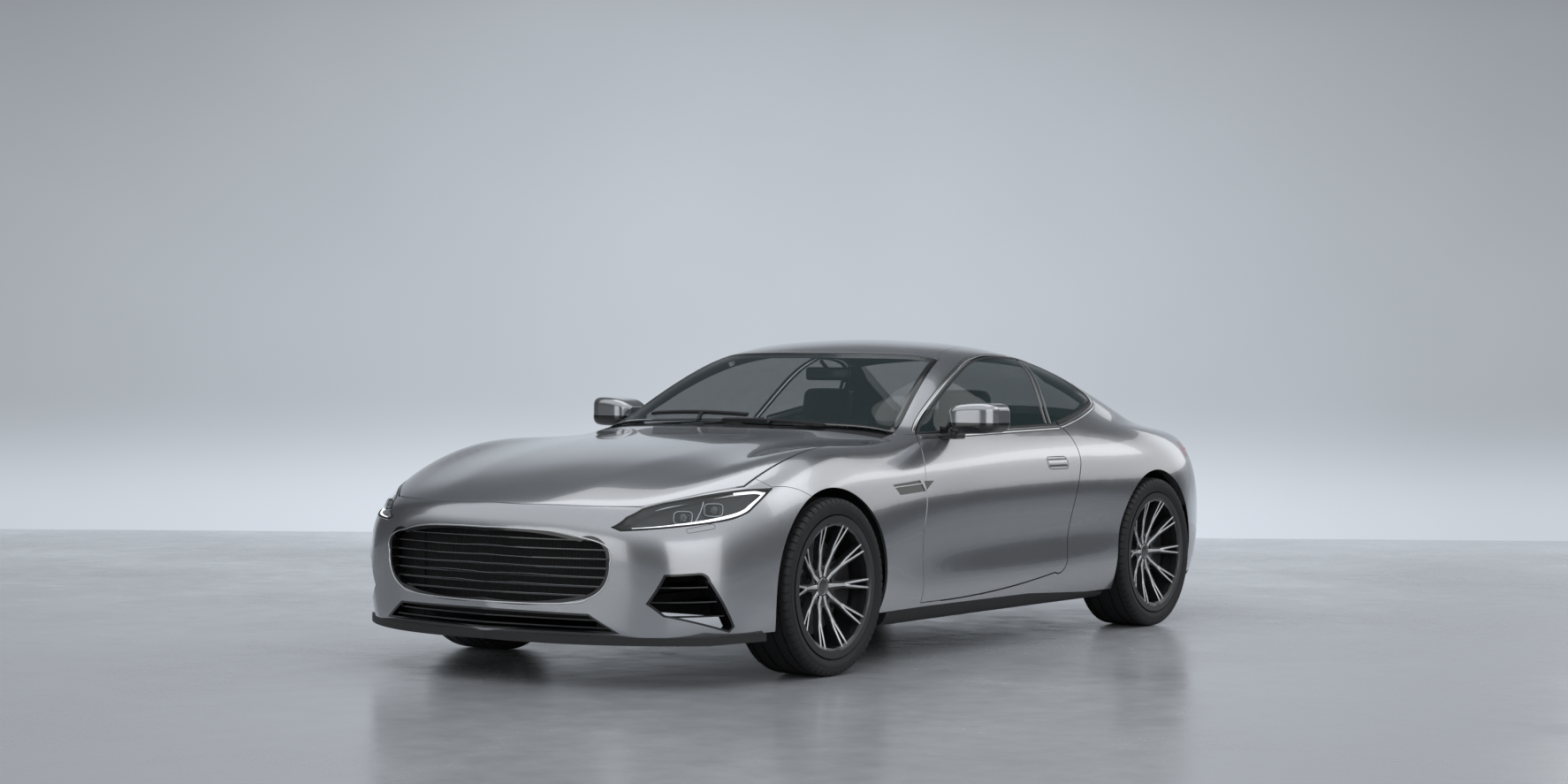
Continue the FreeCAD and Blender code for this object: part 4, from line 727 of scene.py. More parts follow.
def make_finishes():
    c = colours()
    GROUPS.update(mottle=make_mottle(), grain=make_grain(), flake=make_flake(),
                  turned=make_turned(), dust=make_dust())
    return {
        "paint": paint_finish("silver_paint", c.paint),
        "window": glass_finish("window_glass", c.glass, 0.42),
        "screen": glass_finish("screen_glass", c.glass, 0.30),
        "lens": glass_finish("clear_lens", (0.60, 0.63, 0.65), 0.05),
        "gloss_black": plastic_finish("gloss_black", c.gloss_black, 0.16, coat=0.6),
        "seal": plastic_finish("seal_rubber", (0.008, 0.008, 0.009), 0.55, grain=0.15),
        "moulded": plastic_finish("moulded_plastic", (0.016, 0.016, 0.017), 0.58, grain=0.35, scale=650.0),
        "dash": plastic_finish("dash_skin", (0.020, 0.020, 0.021), 0.52, grain=0.4, scale=380.0),
        "structure": plastic_finish("underbody_coat", (0.020, 0.020, 0.022), 0.62, grain=0.25, scale=220.0),
        "bright": metal_finish("bright_trim", (0.60, 0.61, 0.62), 0.16),
        "machined": metal_finish("machined_alloy", c.machined, 0.30, rings=0.25, metallic=0.65),
        "pocket": plastic_finish("wheel_pocket", c.pocket, 0.30, coat=0.5),
        "disc": metal_finish("brake_iron", (0.30, 0.30, 0.31), 0.30, rings=0.55),
        "iron": metal_finish("cast_iron", (0.10, 0.10, 0.105), 0.55),
        "caliper": plastic_finish("caliper_paint", (0.030, 0.030, 0.033), 0.35, coat=0.4),
        "steel": metal_finish("polished_steel", (0.55, 0.55, 0.56), 0.18),
        "reflector": metal_finish("lamp_reflector", (0.20, 0.21, 0.22), 0.22),
        "rubber": rubber_finish(),
        "leather": leather_finish(),
        "light": glow_finish("light_strip", (0.93, 0.96, 1.0), 1.1),
        "tail": plastic_finish("tail_lens", c.tail_red, 0.10, coat=1.0),
        "tail_light": glow_finish("tail_strip", (0.65, 0.02, 0.02), 0.35),
        "mirror": metal_finish("mirror_glass", (0.75, 0.76, 0.78), 0.02, amount=0.0),
        "cap": plastic_finish("wheel_cap", (0.055, 0.055, 0.058), 0.22, coat=0.8),
        # Painted highlight: a faint glow on the projector frames and the lamp ledge, which are not lamps.
        "glow_highlight": glow_finish("painted_lamp_glint", (0.50, 0.55, 0.60), 0.10),
        "projector": plastic_finish("projector_glass", (0.010, 0.012, 0.014), 0.04, coat=1.0),
        "bowl": plastic_finish("lamp_bowl", (0.008, 0.009, 0.010), 0.42),
        "bar_edge": metal_finish("bar_edge", (0.24, 0.245, 0.25), 0.24),
        # Painted shade: a black disc that closes each exhaust mouth, where the hollow pipe would be dark.
        "mouth_shade": plastic_finish("exhaust_mouth_painted_shade", (0.006, 0.006, 0.006), 0.85),
        "headlining": plastic_finish("headlining", (0.050, 0.050, 0.052), 0.90, grain=0.3, scale=900.0),
    }


FINISH = {}

# Finish of each CAD node that is shown as it is, or as a smooth copy
NODE_FINISH = {
    "paint": ("body_side_left", "body_side_right", "bonnet", "boot_lid", "door_left", "door_right",
              "front_bumper", "rear_bumper", "front_wing_left", "front_wing_right", "roof",
              "mirror_left", "mirror_right"),
    "gloss_black": ("grille", "lower_grille", "side_vents", "cowl", "wipers"),
    "window": ("rear_window", "door_glass_left", "door_glass_right", "quarter_windows"),
    "screen": ("windscreen",),
    "lens": ("headlamp_lenses",),
    "reflector": ("headlamps",),
    "tail": ("tail_lamps",),
    "moulded": ("front_wheelhouses", "rear_wheelhouses", "radiator", "console", "steering_wheel",
                "rear_diffuser", "side_blades", "front_splitter"),
    "dash": ("dashboard",),
    "structure": ("underbody", "front_subframe", "rear_subframe", "door_hinges", "lid_hinges"),
    "iron": ("engine",),
    "caliper": ("front_knuckle_left", "front_knuckle_right", "rear_hubs"),
    "leather": ("front_seat_left", "front_seat_right", "rear_seats"),
    "steel": ("exhaust",),
    "rubber": tuple("tyre_" + w for w in WHEELS),
    "pocket": tuple("rim_" + w for w in WHEELS),
    "disc": tuple("brake_disc_" + w for w in WHEELS),
}
SKIN_NODES = ("body_side_left", "body_side_right", "bonnet", "boot_lid", "door_left", "door_right",
              "front_bumper", "rear_bumper", "front_wing_left", "front_wing_right", "roof",
              "windscreen", "rear_window", "door_glass_left", "door_glass_right",
              "quarter_windows", "headlamp_lenses", "tail_lamps", "cowl")
WELD = 1e-5
ON_SKIN = 0.0022
ALONG_SKIN = 0.86


def body_of(node):
    return NODES[node]["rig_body"]


class COUPE_OT_finishes(Operator):
    """Make every finish and put the right one on each node of the frame"""

    bl_idname = "coupe.finishes"
    bl_label = "Finishes"

    def execute(self, context):
        FINISH.update(make_finishes())
        for finish, names in NODE_FINISH.items():
            for name in names:
                node = NODES[name]
                node.data.materials.clear()
                node.data.materials.append(FINISH[finish])
        return {"FINISHED"}


def freed(source):
    """A copy of a node that no longer counts as the node."""
    piece = duplicate(source)
    piece.parent = None
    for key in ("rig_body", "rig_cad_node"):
        del piece[key]
    return piece


def smooth_copy(name):
    """A copy of an outer node whose outside has the skin's own normals."""
    copy = freed(NODES[name])
    copy.name = name.replace("body_side", "side") + "_panel"
    bpy.ops.object.mode_set(mode="EDIT")
    bpy.ops.mesh.select_all(action="SELECT")
    bpy.ops.mesh.remove_doubles(threshold=WELD)
    bpy.ops.object.mode_set(mode="OBJECT")
    mesh = copy.data
    if mesh.has_custom_normals:
        bpy.ops.mesh.customdata_custom_splitnormals_clear()
    smooth(copy, 30)
    corner = [tuple(data.vector) for data in mesh.corner_normals]
    known = {}
    for face in mesh.polygons:
        _, normal, distance = skin.nearest(face.center)
        if distance > ON_SKIN or normal.dot(face.normal) < ALONG_SKIN:
            continue
        for index in face.loop_indices:
            vertex = mesh.loops[index].vertex_index
            if vertex not in known:
                known[vertex] = tuple(skin.nearest(mesh.vertices[vertex].co)[1])
            corner[index] = known[vertex]
    mesh.normals_split_custom_set(corner)
    return settle(copy, body_of(name), stands_for=(name,))


class COUPE_OT_panels(Operator):
    """Outer panels and glass with the reflections of one smooth skin"""

    bl_idname = "coupe.panels"
    bl_label = "Panels and glass"

    def execute(self, context):
        for name in SKIN_NODES:
            smooth_copy(name)
        return {"FINISHED"}


def loose_copy(node, name):
    """A welded copy of a node as a new piece, also where another piece stands for the node."""
    source = NODES[node]
    hidden = source.hide_viewport
    source.hide_viewport = False
    piece = freed(source)
    source.hide_viewport = hidden
    piece.hide_render = False
    piece.name = piece.data.name = name
    if piece.data.has_custom_normals:
        bpy.ops.mesh.customdata_custom_splitnormals_clear()
    mesh = bmesh.new()
    mesh.from_mesh(piece.data)
    bmesh.ops.remove_doubles(mesh, verts=mesh.verts, dist=WELD)
    mesh.to_mesh(piece.data)
    mesh.free()
    return piece


def part_of(name, source, keep, lift=0.0006, deep=0.0010, degrees=35, cut=None):
    """The faces of a node or a piece that pass a test, as a thin shell just proud of it."""
    if isinstance(source, str):
        piece = loose_copy(source, name)
    else:
        piece = bpy.data.objects.new(name, source.data.copy())
        bpy.context.scene.collection.objects.link(piece)
    mesh = bmesh.new()
    mesh.from_mesh(piece.data)
    if cut:
        bmesh.ops.bisect_plane(mesh, geom=mesh.verts[:] + mesh.edges[:] + mesh.faces[:],
                               plane_co=cut[0], plane_no=cut[1])
    dropped = [face for face in mesh.faces if not keep(face.normal, face.calc_center_median())]
    bmesh.ops.delete(mesh, geom=dropped, context="FACES")
    mesh.normal_update()
    for vertex in mesh.verts:
        vertex.co += vertex.normal * lift
    mesh.to_mesh(piece.data)
    mesh.free()
    modify(piece, "SOLIDIFY", thickness=lift + deep, offset=-1)
    return smooth(piece, degrees)


def mirrored(piece, name):
    """The same piece on the other side of the car."""
    twin = duplicate(piece)
    twin.name = twin.data.name = name
    twin.data.transform(Matrix.Diagonal((1, -1, 1, 1)))
    twin.data.flip_normals()
    return twin


def box_piece(name, centre, size, round_=0.0, turn=(0, 0, 0), segments=3):
    bpy.ops.mesh.primitive_cube_add(size=1, location=centre, rotation=turn)
    piece = bpy.context.object
    piece.name = name
    piece.scale = size
    bpy.ops.object.transform_apply(location=False, rotation=False, scale=True)
    if round_:
        modify(piece, "BEVEL", width=round_, segments=segments)
        smooth(piece, 60)
    return piece


def turned_to(way):
    """The rotation that lays the Z axis along a direction."""
    return Vector(way).to_track_quat("Z", "Y").to_euler()


def rod(name, start, end, radius, sides=24, round_=0.0):
    start, end = Vector(start), Vector(end)
    bpy.ops.mesh.primitive_cylinder_add(vertices=sides, radius=radius, depth=(end - start).length,
                                        location=(start + end) / 2, rotation=turned_to(end - start))
    piece = bpy.context.object
    piece.name = name
    if round_:
        modify(piece, "BEVEL", width=round_, segments=2, limit_method="ANGLE", angle_limit=0.6)
        smooth(piece, 40)
    return piece


def ring(name, centre, normal, radius, thick, steps=48):
    bpy.ops.mesh.primitive_torus_add(major_radius=radius, minor_radius=thick, major_segments=steps,
                                     minor_segments=10, location=centre, rotation=turned_to(normal))
    piece = bpy.context.object
    piece.name = name
    return smooth(piece, 60)


# ---------------------------------------------------------------------------------------
# Wheels
# ---------------------------------------------------------------------------------------
DISH_RADII = (0.033, 0.077, 0.0987, 0.1688, 0.2235, 0.254, 0.286)
DISH_FACE = (0.062, 0.062, 0.068, 0.086, 0.1073, 0.1193, 0.1193)
SPOKE_ROOT = ((0.040, 0), (0.060, 0), (0.077, 0), (0.0987, 0), (0.120, 0), (0.140, 0))
SPOKE_FORK = ((0.136, 0.7), (0.150, 1.6), (0.1688, 2.3), (0.200, 3.1), (0.2235, 3.5), (0.248, 3.8),
              (0.276, 4.0))
RIM_LINE = 0.2800
NUT_CIRCLE = 0.057
CAP_RADIUS = 0.031
TYRE_SIDE = ((0.1160, 0.2870), (0.1185, 0.2890), (0.1235, 0.2920), (0.1238, 0.2960), (0.1285, 0.3050),
             (0.1308, 0.3180), (0.1305, 0.3215), (0.1296, 0.3222), (0.1294, 0.3320), (0.1268, 0.3420),
             (0.1235, 0.3480), (0.1185, 0.3522), (0.1110, 0.3550), (0.1020, 0.3560))
TREAD_GROOVES = (0.0860, 0.0350)
TREAD_EDGE, TREAD_INNER, TREAD_CROWN = 0.3567, 0.3568, 0.3570
GROOVE_HALF, GROOVE_DEPTH, GROOVE_TAPER = 0.0050, 0.0065, 0.001
BLOCK_STEPS = (0.0, 0.05, 0.17, 0.22)
NOTCH_DEPTH, NOTCH_RADIUS, NOTCH_ACROSS = 0.0038, 0.340, 0.0925
SPOKE_WIDTH, FORK_WIDTH = 0.0125, 0.0074
SPOKE_SWELL, SPOKE_TAPER = 1.25, 0.4
RIM_STEPS = 120


def machined_faces(centre, out):
    """Bright strips on the spokes, one to the fork and two beyond it, and a line round the rim."""
    def on_dish(radius, degrees):
        angle = math.radians(degrees)
        face = float(np.interp(radius, DISH_RADII, DISH_FACE))
        return centre + Vector((radius * math.cos(angle), face * out, radius * math.sin(angle)))

    pieces = []
    facing = Vector((0, out, 0))
    for k in range(trim().spokes):
        middle = 360 / trim().spokes * k
        left_fork = [(r, -a) for r, a in SPOKE_FORK]
        for path, width in ((SPOKE_ROOT, SPOKE_WIDTH), (SPOKE_FORK, FORK_WIDTH),
                            (left_fork, FORK_WIDTH)):
            places = [(on_dish(r, middle + a), facing) for r, a in path]
            shares = [SPOKE_SWELL - SPOKE_TAPER * j / (len(path) - 1) for j in range(len(path))]
            profile = strip(width, 0.0012, 0.0015, 0.45)
            pieces.append(sweep("strip", places, profile, scales=shares))
    turn = [(on_dish(RIM_LINE, 360 / RIM_STEPS * k), facing) for k in range(RIM_STEPS)]
    pieces.append(sweep("line", turn, bead(0.0105, 0.0040, 0.001, 6), True))
    return smooth(join("machined", pieces), 40)


def tyre_mesh():
    """One tyre about the origin: grooved tread, notched shoulders."""
    half = list(TYRE_SIDE)
    for groove in TREAD_GROOVES:
        outer, inner, floor = groove + GROOVE_HALF, groove - GROOVE_HALF, TREAD_EDGE - GROOVE_DEPTH
        half += [(outer, TREAD_EDGE), (outer - GROOVE_TAPER, floor), (inner + GROOVE_TAPER, floor),
                 (inner, TREAD_INNER)]
    profile = half + [(0.0, TREAD_CROWN)] + [(-a, r) for a, r in half[::-1]]
    blocks = trim().tread_blocks
    points, faces = [], []
    for block in range(blocks):
        for k, share in enumerate(BLOCK_STEPS):
            angle = 2 * math.pi * (block + share) / blocks
            for across, radius in profile:
                if k in (1, 2) and radius > NOTCH_RADIUS and abs(across) > NOTCH_ACROSS:
                    radius -= NOTCH_DEPTH
                    across -= math.copysign(NOTCH_DEPTH / 2, across)
                points.append((radius * math.cos(angle), across, radius * math.sin(angle)))
    count, size = blocks * len(BLOCK_STEPS), len(profile)
    for k in range(count):
        here, there = k * size, (k + 1) % count * size
        for j in range(size):
            faces.append((here + j, there + j, there + (j + 1) % size, here + (j + 1) % size))
    return outward(mesh_piece("tyre", points, faces))


CAP_REACH, CAP_RING, NUT_FOOT = (0.050, 0.0655), 0.0625, 0.040
NUT_SHAPES = (("nut", 0.0575, 0.0092, 6), ("collar", 0.0475, 0.0104, 24))


def hub_pieces(centre, out):
    """Blank cap, its ring and the wheel nuts."""
    def spot(x, y, z):
        return centre + Vector((x, y * out, z))

    cap = rod("cap", spot(0, CAP_REACH[0], 0), spot(0, CAP_REACH[1], 0), CAP_RADIUS, 48, 0.004)
    rim = ring("cap_ring", spot(0, CAP_RING, 0), (0, out, 0), CAP_RADIUS + 0.0015, 0.0018)
    nuts = []
    for k in range(trim().nuts):
        angle = 2 * math.pi * k / trim().nuts + math.pi / 2
        x, z = NUT_CIRCLE * math.cos(angle), NUT_CIRCLE * math.sin(angle)
        for name, top, radius, sides in NUT_SHAPES:
            nuts.append(rod(name, spot(x, NUT_FOOT, z), spot(x, top, z), radius, sides, 0.001))
    return cap, join("nuts", [rim] + nuts)


class COUPE_OT_wheels(Operator):
    """Machined spoke faces, caps, nuts and tyres"""

    bl_idname = "coupe.wheels"
    bl_label = "Wheels"

    def execute(self, context):
        pattern = smooth(tyre_mesh(), 32)
        for name, centre in WHEELS.items():
            out = 1 if centre.y > 0 else -1
            body = body_of("rim_" + name)
            spokes = machined_faces(centre, out)
            spokes.name = "spoke_faces_" + name
            settle(spokes, body, FINISH["machined"])
            cap, nuts = hub_pieces(centre, out)
            cap.name, nuts.name = "wheel_cap_" + name, "wheel_nuts_" + name
            settle(cap, body, FINISH["cap"])
            settle(nuts, body, FINISH["steel"])
            tyre = duplicate(pattern)
            tyre.name = tyre.data.name = "tread_" + name
            tyre.data.transform(Matrix.Translation(centre))
            settle(tyre, body_of("tyre_" + name), FINISH["rubber"],
                   stands_for=("tyre_" + name,))
        take(pattern)
        bpy.ops.object.delete()
        return {"FINISHED"}


# ---------------------------------------------------------------------------------------
# Outlines that the trim follows: (x, z) from the side, (y, z) from the front, (x, y) in plan
# ---------------------------------------------------------------------------------------
GLASS_TOP = ((-0.472, 0.957), ((-0.165, 1.119), (0.127, 1.230)), ((0.400, 1.284), (0.775, 1.2835)))
GLASS_REAR = ((0.790, 1.2830), ((0.850, 1.281), (0.896, 1.276)), ((1.060, 1.235), (1.180, 1.160)),
              ((1.222, 1.105), (1.186, 1.066)), ((0.960, 1.018), (0.736, 0.979)))
GLASS_BELT = ((0.716, 0.975), ((0.100, 0.962), (-0.466, 0.951)))
B_BAND = ((0.6405, 0.980), (0.779, 1.249), (0.792, 1.278))
HEADLAMP = ((-2.268, 0.620), (-2.257, 0.606), (-2.119, 0.622), ((-1.990, 0.636), (-1.896, 0.652)),
            ((-1.845, 0.668), (-1.812, 0.686)), (-1.680, 0.762), (-1.805, 0.760),
            ((-2.025, 0.729), (-2.166, 0.692)),
            (-2.225, 0.660), (-2.268, 0.620))
LAMP_LOWER = ((-2.235, 0.618), (-2.119, 0.633), ((-1.990, 0.648), (-1.900, 0.662)),
              ((-1.850, 0.676), (-1.815, 0.694)), (-1.720, 0.742))
LAMP_MODULES = ((-2.085, 0.668), (-1.965, 0.694))
WASHER = ((-2.100, 0.600), (-2.000, 0.616), (-1.996, 0.628), (-2.004, 0.634), (-2.098, 0.617),
          (-2.106, 0.610))
GRILLE = ((0.0, 0.604), ((0.300, 0.600), (0.440, 0.578)), ((0.550, 0.545), (0.560, 0.490)),
          ((0.540, 0.400), (0.470, 0.348)), ((0.350, 0.326), (0.0, 0.320)))
GRILLE_LOW, GRILLE_HIGH, GRILLE_BARS = 0.320, 0.604, 7
GRILLE_FRAME, BAR_FRONT, BAR_BACK, BAR = 0.014, 0.020, 0.048, 0.005
SCREEN = ((-0.700, 0.0), ((-0.672, 0.480), (-0.590, 0.762)), (0.060, 0.590),
          ((-0.020, 0.340), (-0.050, 0.0)))
REAR_SCREEN = ((1.085, 0.0), ((1.075, 0.260), (1.040, 0.470)), ((1.400, 0.560), (1.700, 0.600)),
               ((1.770, 0.320), (1.785, 0.0)))
VENT_SLAT = ((-0.838, 0.7385), (-0.600, 0.7480))
VENT_TAIL = ((-0.582, 0.7405), (-0.512, 0.7560))
HANDLE = (0.4830, 0.6600, 0.7820, 0.8330)
HANDLE_CORNER = 0.017
HANDLE_GRIP = ((0.492, 0.8075), (0.651, 0.8075))
TRIM_SINK, TRIM_STEP = 0.0012, 0.018
EDGE_WIDTH = 0.0040
BAND_WIDTH, BAND_OFFSET = 0.020, 0.0185
VENT_TAIL_WIDTH, VENT_TAIL_TAPER = 0.038, 0.93


def whole_ring(half):
    """An outline given to one side of the middle, closed on both sides."""
    path = bend(half)
    return path + [Vector((-p.x, p.y)) for p in path[-2:0:-1]]


def plan_ring(half):
    path = bend(half)
    return path + [Vector((p.x, -p.y)) for p in path[-2:0:-1]]


def on_side(path, side, depth=0.0):
    return sunk([skin.side(p.x, p.y, side) for p in path], depth)


def sunk(places, depth):
    return [(point - normal * depth, normal) for point, normal in places]


def ribbon(name, places, profile, finish, body="body",
           closed=False, scales=None, degrees=50):
    """A swept strip with its finish, riding on its body. At 0 degrees it is left unsmoothed."""
    piece = sweep(name, places, profile, closed, scales)
    if degrees:
        smooth(piece, degrees)
    return settle(piece, body, FINISH[finish])


def trim_strip(name, path, side, body, finish, width, height, offset, closed=False):
    """A strip along a side outline, offset outwards where it runs rearwards along its top."""
    profile = strip(width, height, TRIM_SINK, 0.3, side * offset)
    places = on_side(even(path, TRIM_STEP, closed), side)
    return ribbon(name, places, profile, finish, body, closed)


def handle_ring(grow):
    low_x, high_x, low_z, high_z = HANDLE
    low_x, high_x, low_z, high_z = low_x - grow, high_x + grow, low_z - grow, high_z + grow
    r = HANDLE_CORNER + grow
    path = []
    for cx, cz, start in ((high_x - r, high_z - r, 90), (high_x - r, low_z + r, 0),
                          (low_x + r, low_z + r, -90), (low_x + r, high_z - r, -180)):
        for k in range(7):
            angle = math.radians(start - 15 * k)
            path.append(Vector((cx + r * math.cos(angle), cz + r * math.sin(angle))))
    return path


class COUPE_OT_windows(Operator):
    """Seals, bright strips and bands of the windows, handles and vents"""

    bl_idname = "coupe.windows"
    bl_label = "Windows and handles"

    def execute(self, context):
        bright, seal = trim().bright_trim, trim().seal
        for side, label in SIDES:
            door = body_of("door_" + label)
            for key, half, rides, seal_rides in (("top", GLASS_TOP, "body", door),
                                                 ("rear", GLASS_REAR, "body", "body"),
                                                 ("belt", GLASS_BELT, door, door)):
                path, name = bend(half), key + "_" + label
                wide, out = (1.7, 0.95) if key == "rear" else (1, 0.6)
                trim_strip("bright_" + name, path, side, rides, "bright", bright, 0.0020,
                           0.0085 + bright / 2)
                trim_strip("edge_" + name, path, side, rides, "gloss_black", EDGE_WIDTH, 0.0012,
                           0.0100 + bright + 0.001)
                trim_strip("seal_" + name, path, side, seal_rides, "seal", seal * wide, 0.0010,
                           -seal * out)
            for key, rides, offset in (("front", door, BAND_OFFSET), ("rear", "body", -BAND_OFFSET)):
                trim_strip("band_%s_%s" % (key, label), bend(B_BAND), side, rides, "gloss_black",
                           BAND_WIDTH, 0.0008, offset)
            trim_strip("handle_edge_" + label, handle_ring(0.002), side, door, "gloss_black",
                       0.0042, 0.0005, 0.0, closed=True)
            trim_strip("handle_" + label, [Vector(p) for p in HANDLE_GRIP], side, door,
                       "paint", 0.040, 0.0012, 0.0)
            trim_strip("vent_slat_" + label, bend(VENT_SLAT), side, "body", "bright",
                       0.0065, 0.0005, 0.0)
            places = on_side(even(bend(VENT_TAIL), 0.008), side)
            shares = [1 - VENT_TAIL_TAPER * k / (len(places) - 1) for k in range(len(places))]
            ribbon("vent_tail_" + label, places, strip(VENT_TAIL_WIDTH, 0.0006, 0.001),
                   "gloss_black", body=door, scales=shares, degrees=0)
        for name, half, width, sign in (("screen_band", SCREEN, 0.026, 1),
                                        ("rear_screen_band", REAR_SCREEN, 0.030, -1)):
            places = [skin.top(p.x, p.y) for p in even(plan_ring(half), 0.03, True)]
            profile = strip(width, 0.0006, 0.001, 0.3, sign * (width / 2 + 0.001))
            ribbon(name, places, profile, "gloss_black", closed=True)
        return {"FINISHED"}


# ---------------------------------------------------------------------------------------
# Lamps, grille, mirrors, tail
# ---------------------------------------------------------------------------------------
BOWL_RINGS = ((1.0, 0.0046), (0.975, 0.016), (0.93, 0.038), (0.70, 0.044), (0.40, 0.046), (0.10, 0.047))
MODULE_HALF, MODULE_DEPTH, MODULE_STEPS = (0.036, 0.025), 0.020, 32
EYE_RADIUS, EYE_DEPTH, TUBE_DEPTH = 0.021, 0.012, 0.006
GLOW_DEPTH, LEDGE_DEPTH = 0.0075, 0.012
LIGHT_REAR = ((-1.765, 0.752), (-1.860, 0.748))
LAMP_LEDGE = ((-2.055, 0.648), (-1.985, 0.722))
TAIL_STRIP = (0.640, 0.840, 0.842)


def lamp_bowl(side, label):
    """A dark bowl behind the lens."""
    path = even(bend(HEADLAMP)[:-1], 0.012, True)
    centre = sum(path, Vector((0, 0))) / len(path)
    points, faces = [], []
    for share, depth in BOWL_RINGS:
        for p in path:
            spot = centre + (p - centre) * share
            point, normal = skin.side(spot.x, spot.y, side)
            points.append(point - normal * depth)
    count = len(path)
    for k in range(len(BOWL_RINGS) - 1):
        here, there = k * count, (k + 1) * count
        for j in range(count):
            faces.append((here + j, here + (j + 1) % count, there + (j + 1) % count, there + j))
    faces.append(tuple(range((len(BOWL_RINGS) - 1) * count, len(BOWL_RINGS) * count)))
    piece = mesh_piece("lamp_bowl_" + label, points, faces)
    modify(outward(piece), "SOLIDIFY", thickness=0.0015, offset=0)
    return smooth(piece, 40)


def lamp_module(x, z, side, ending):
    """A projector: a rounded frame that glows faintly as a painted highlight, a dark tube and its lens."""
    point, normal = skin.side(x, z, side)
    face = (normal + Vector((-0.9, 0, 0))).normalized()
    centre = point - normal * MODULE_DEPTH
    level = Vector((0, 0, 1)).cross(face).normalized()
    up = face.cross(level).normalized()
    rim = []
    for k in range(MODULE_STEPS):
        angle = 2 * math.pi * k / MODULE_STEPS
        a, b = math.cos(angle), math.sin(angle)
        rim.append(centre + level * math.copysign(abs(a) ** 0.5, a) * MODULE_HALF[0]
                   + up * math.copysign(abs(b) ** 0.5, b) * MODULE_HALF[1])
    ribbon("module_frame_" + ending, [(p, face) for p in rim], strip(0.0018, 0.003, 0.002),
           "glow_highlight", closed=True, degrees=0)
    ribbon("module_tube_" + ending, [(p - face * TUBE_DEPTH, face) for p in rim],
           strip(0.004, 0.002, 0.014), "gloss_black", closed=True, degrees=0)
    bpy.ops.mesh.primitive_uv_sphere_add(segments=32, ring_count=16, radius=EYE_RADIUS,
                                         location=centre - face * EYE_DEPTH)
    eye = smooth(bpy.context.object, 60)
    eye.name = "module_eye_" + ending
    settle(eye, "body", FINISH["projector"])


class COUPE_OT_lamps(Operator):
    """Head lamps and tail lamps"""

    bl_idname = "coupe.lamps"
    bl_label = "Lamps"

    def execute(self, context):
        bowls = []
        for side, label in SIDES:
            bowls.append(lamp_bowl(side, label))
            lower = even(bend(LAMP_LOWER), 0.010)
            widths = [0.25 + 0.75 * min(1, k / (0.6 * len(lower))) for k in range(len(lower))]
            ribbon("light_strip_" + label, on_side(lower, side, GLOW_DEPTH),
                   strip(0.020, 0.0015, 0.004), "light", scales=widths)
            rear = even([Vector(lower[-1])] + [Vector(p) for p in LIGHT_REAR], 0.010)
            ribbon("light_rear_" + label, on_side(rear, side, GLOW_DEPTH),
                   strip(0.010, 0.0015, 0.004), "light")
            for k, (x, z) in enumerate(LAMP_MODULES):
                lamp_module(x, z, side, "%d_%s" % (k + 1, label))
            # The ledge glows faintly: a painted highlight, not a lamp.
            ledge = even([Vector(p) for p in LAMP_LEDGE], 0.008)
            ribbon("lamp_ledge_" + label, on_side(ledge, side, LEDGE_DEPTH),
                   strip(0.0030, 0.002, 0.006), "glow_highlight", degrees=0)
            outline = even(bend(HEADLAMP)[:-1], 0.010, True)
            ribbon("lamp_edge_" + label, on_side(outline, side),
                   strip(0.0085, 0.0004, 0.001, 0.3, side * 0.0047), "seal", closed=True)
            cover = even([Vector(p) for p in WASHER], 0.008, True)
            ribbon("washer_line_" + label, on_side(cover, side), strip(0.0020, 0.0003, 0.0008),
                   "gloss_black", closed=True, degrees=0)
            inner, outer, height = TAIL_STRIP
            path = even([Vector((inner * side, height)), Vector((outer * side, height))], 0.01)
            ribbon("tail_strip_" + label, [skin.rear(p.x, p.y) for p in path],
                   strip(0.010, 0.0008, 0.001), "tail_light", degrees=0)
        bowl = join("lamp_bowls", bowls)
        settle(bowl, "body", FINISH["bowl"], stands_for=("headlamps",))
        return {"FINISHED"}


def ring_width(outline, height):
    """Half width of an outline at a height."""
    best = 0.0
    for a, b in zip(outline, outline[1:]):
        if min(a.y, b.y) <= height <= max(a.y, b.y) and a.y != b.y:
            best = max(best, a.x + (b.x - a.x) * (height - a.y) / (b.y - a.y))
    return best


MESH_WIRES, MESH_STEP, MESH_REACH, MESH_SHORTEST, MESH_GAP = 38, 0.0142, 0.03, 0.06, 0.004
AIR_GUIDE_PLACE, AIR_GUIDE_SIZE = (-2.202, 0.525, 0.410), (0.004, 0.170, 0.390)


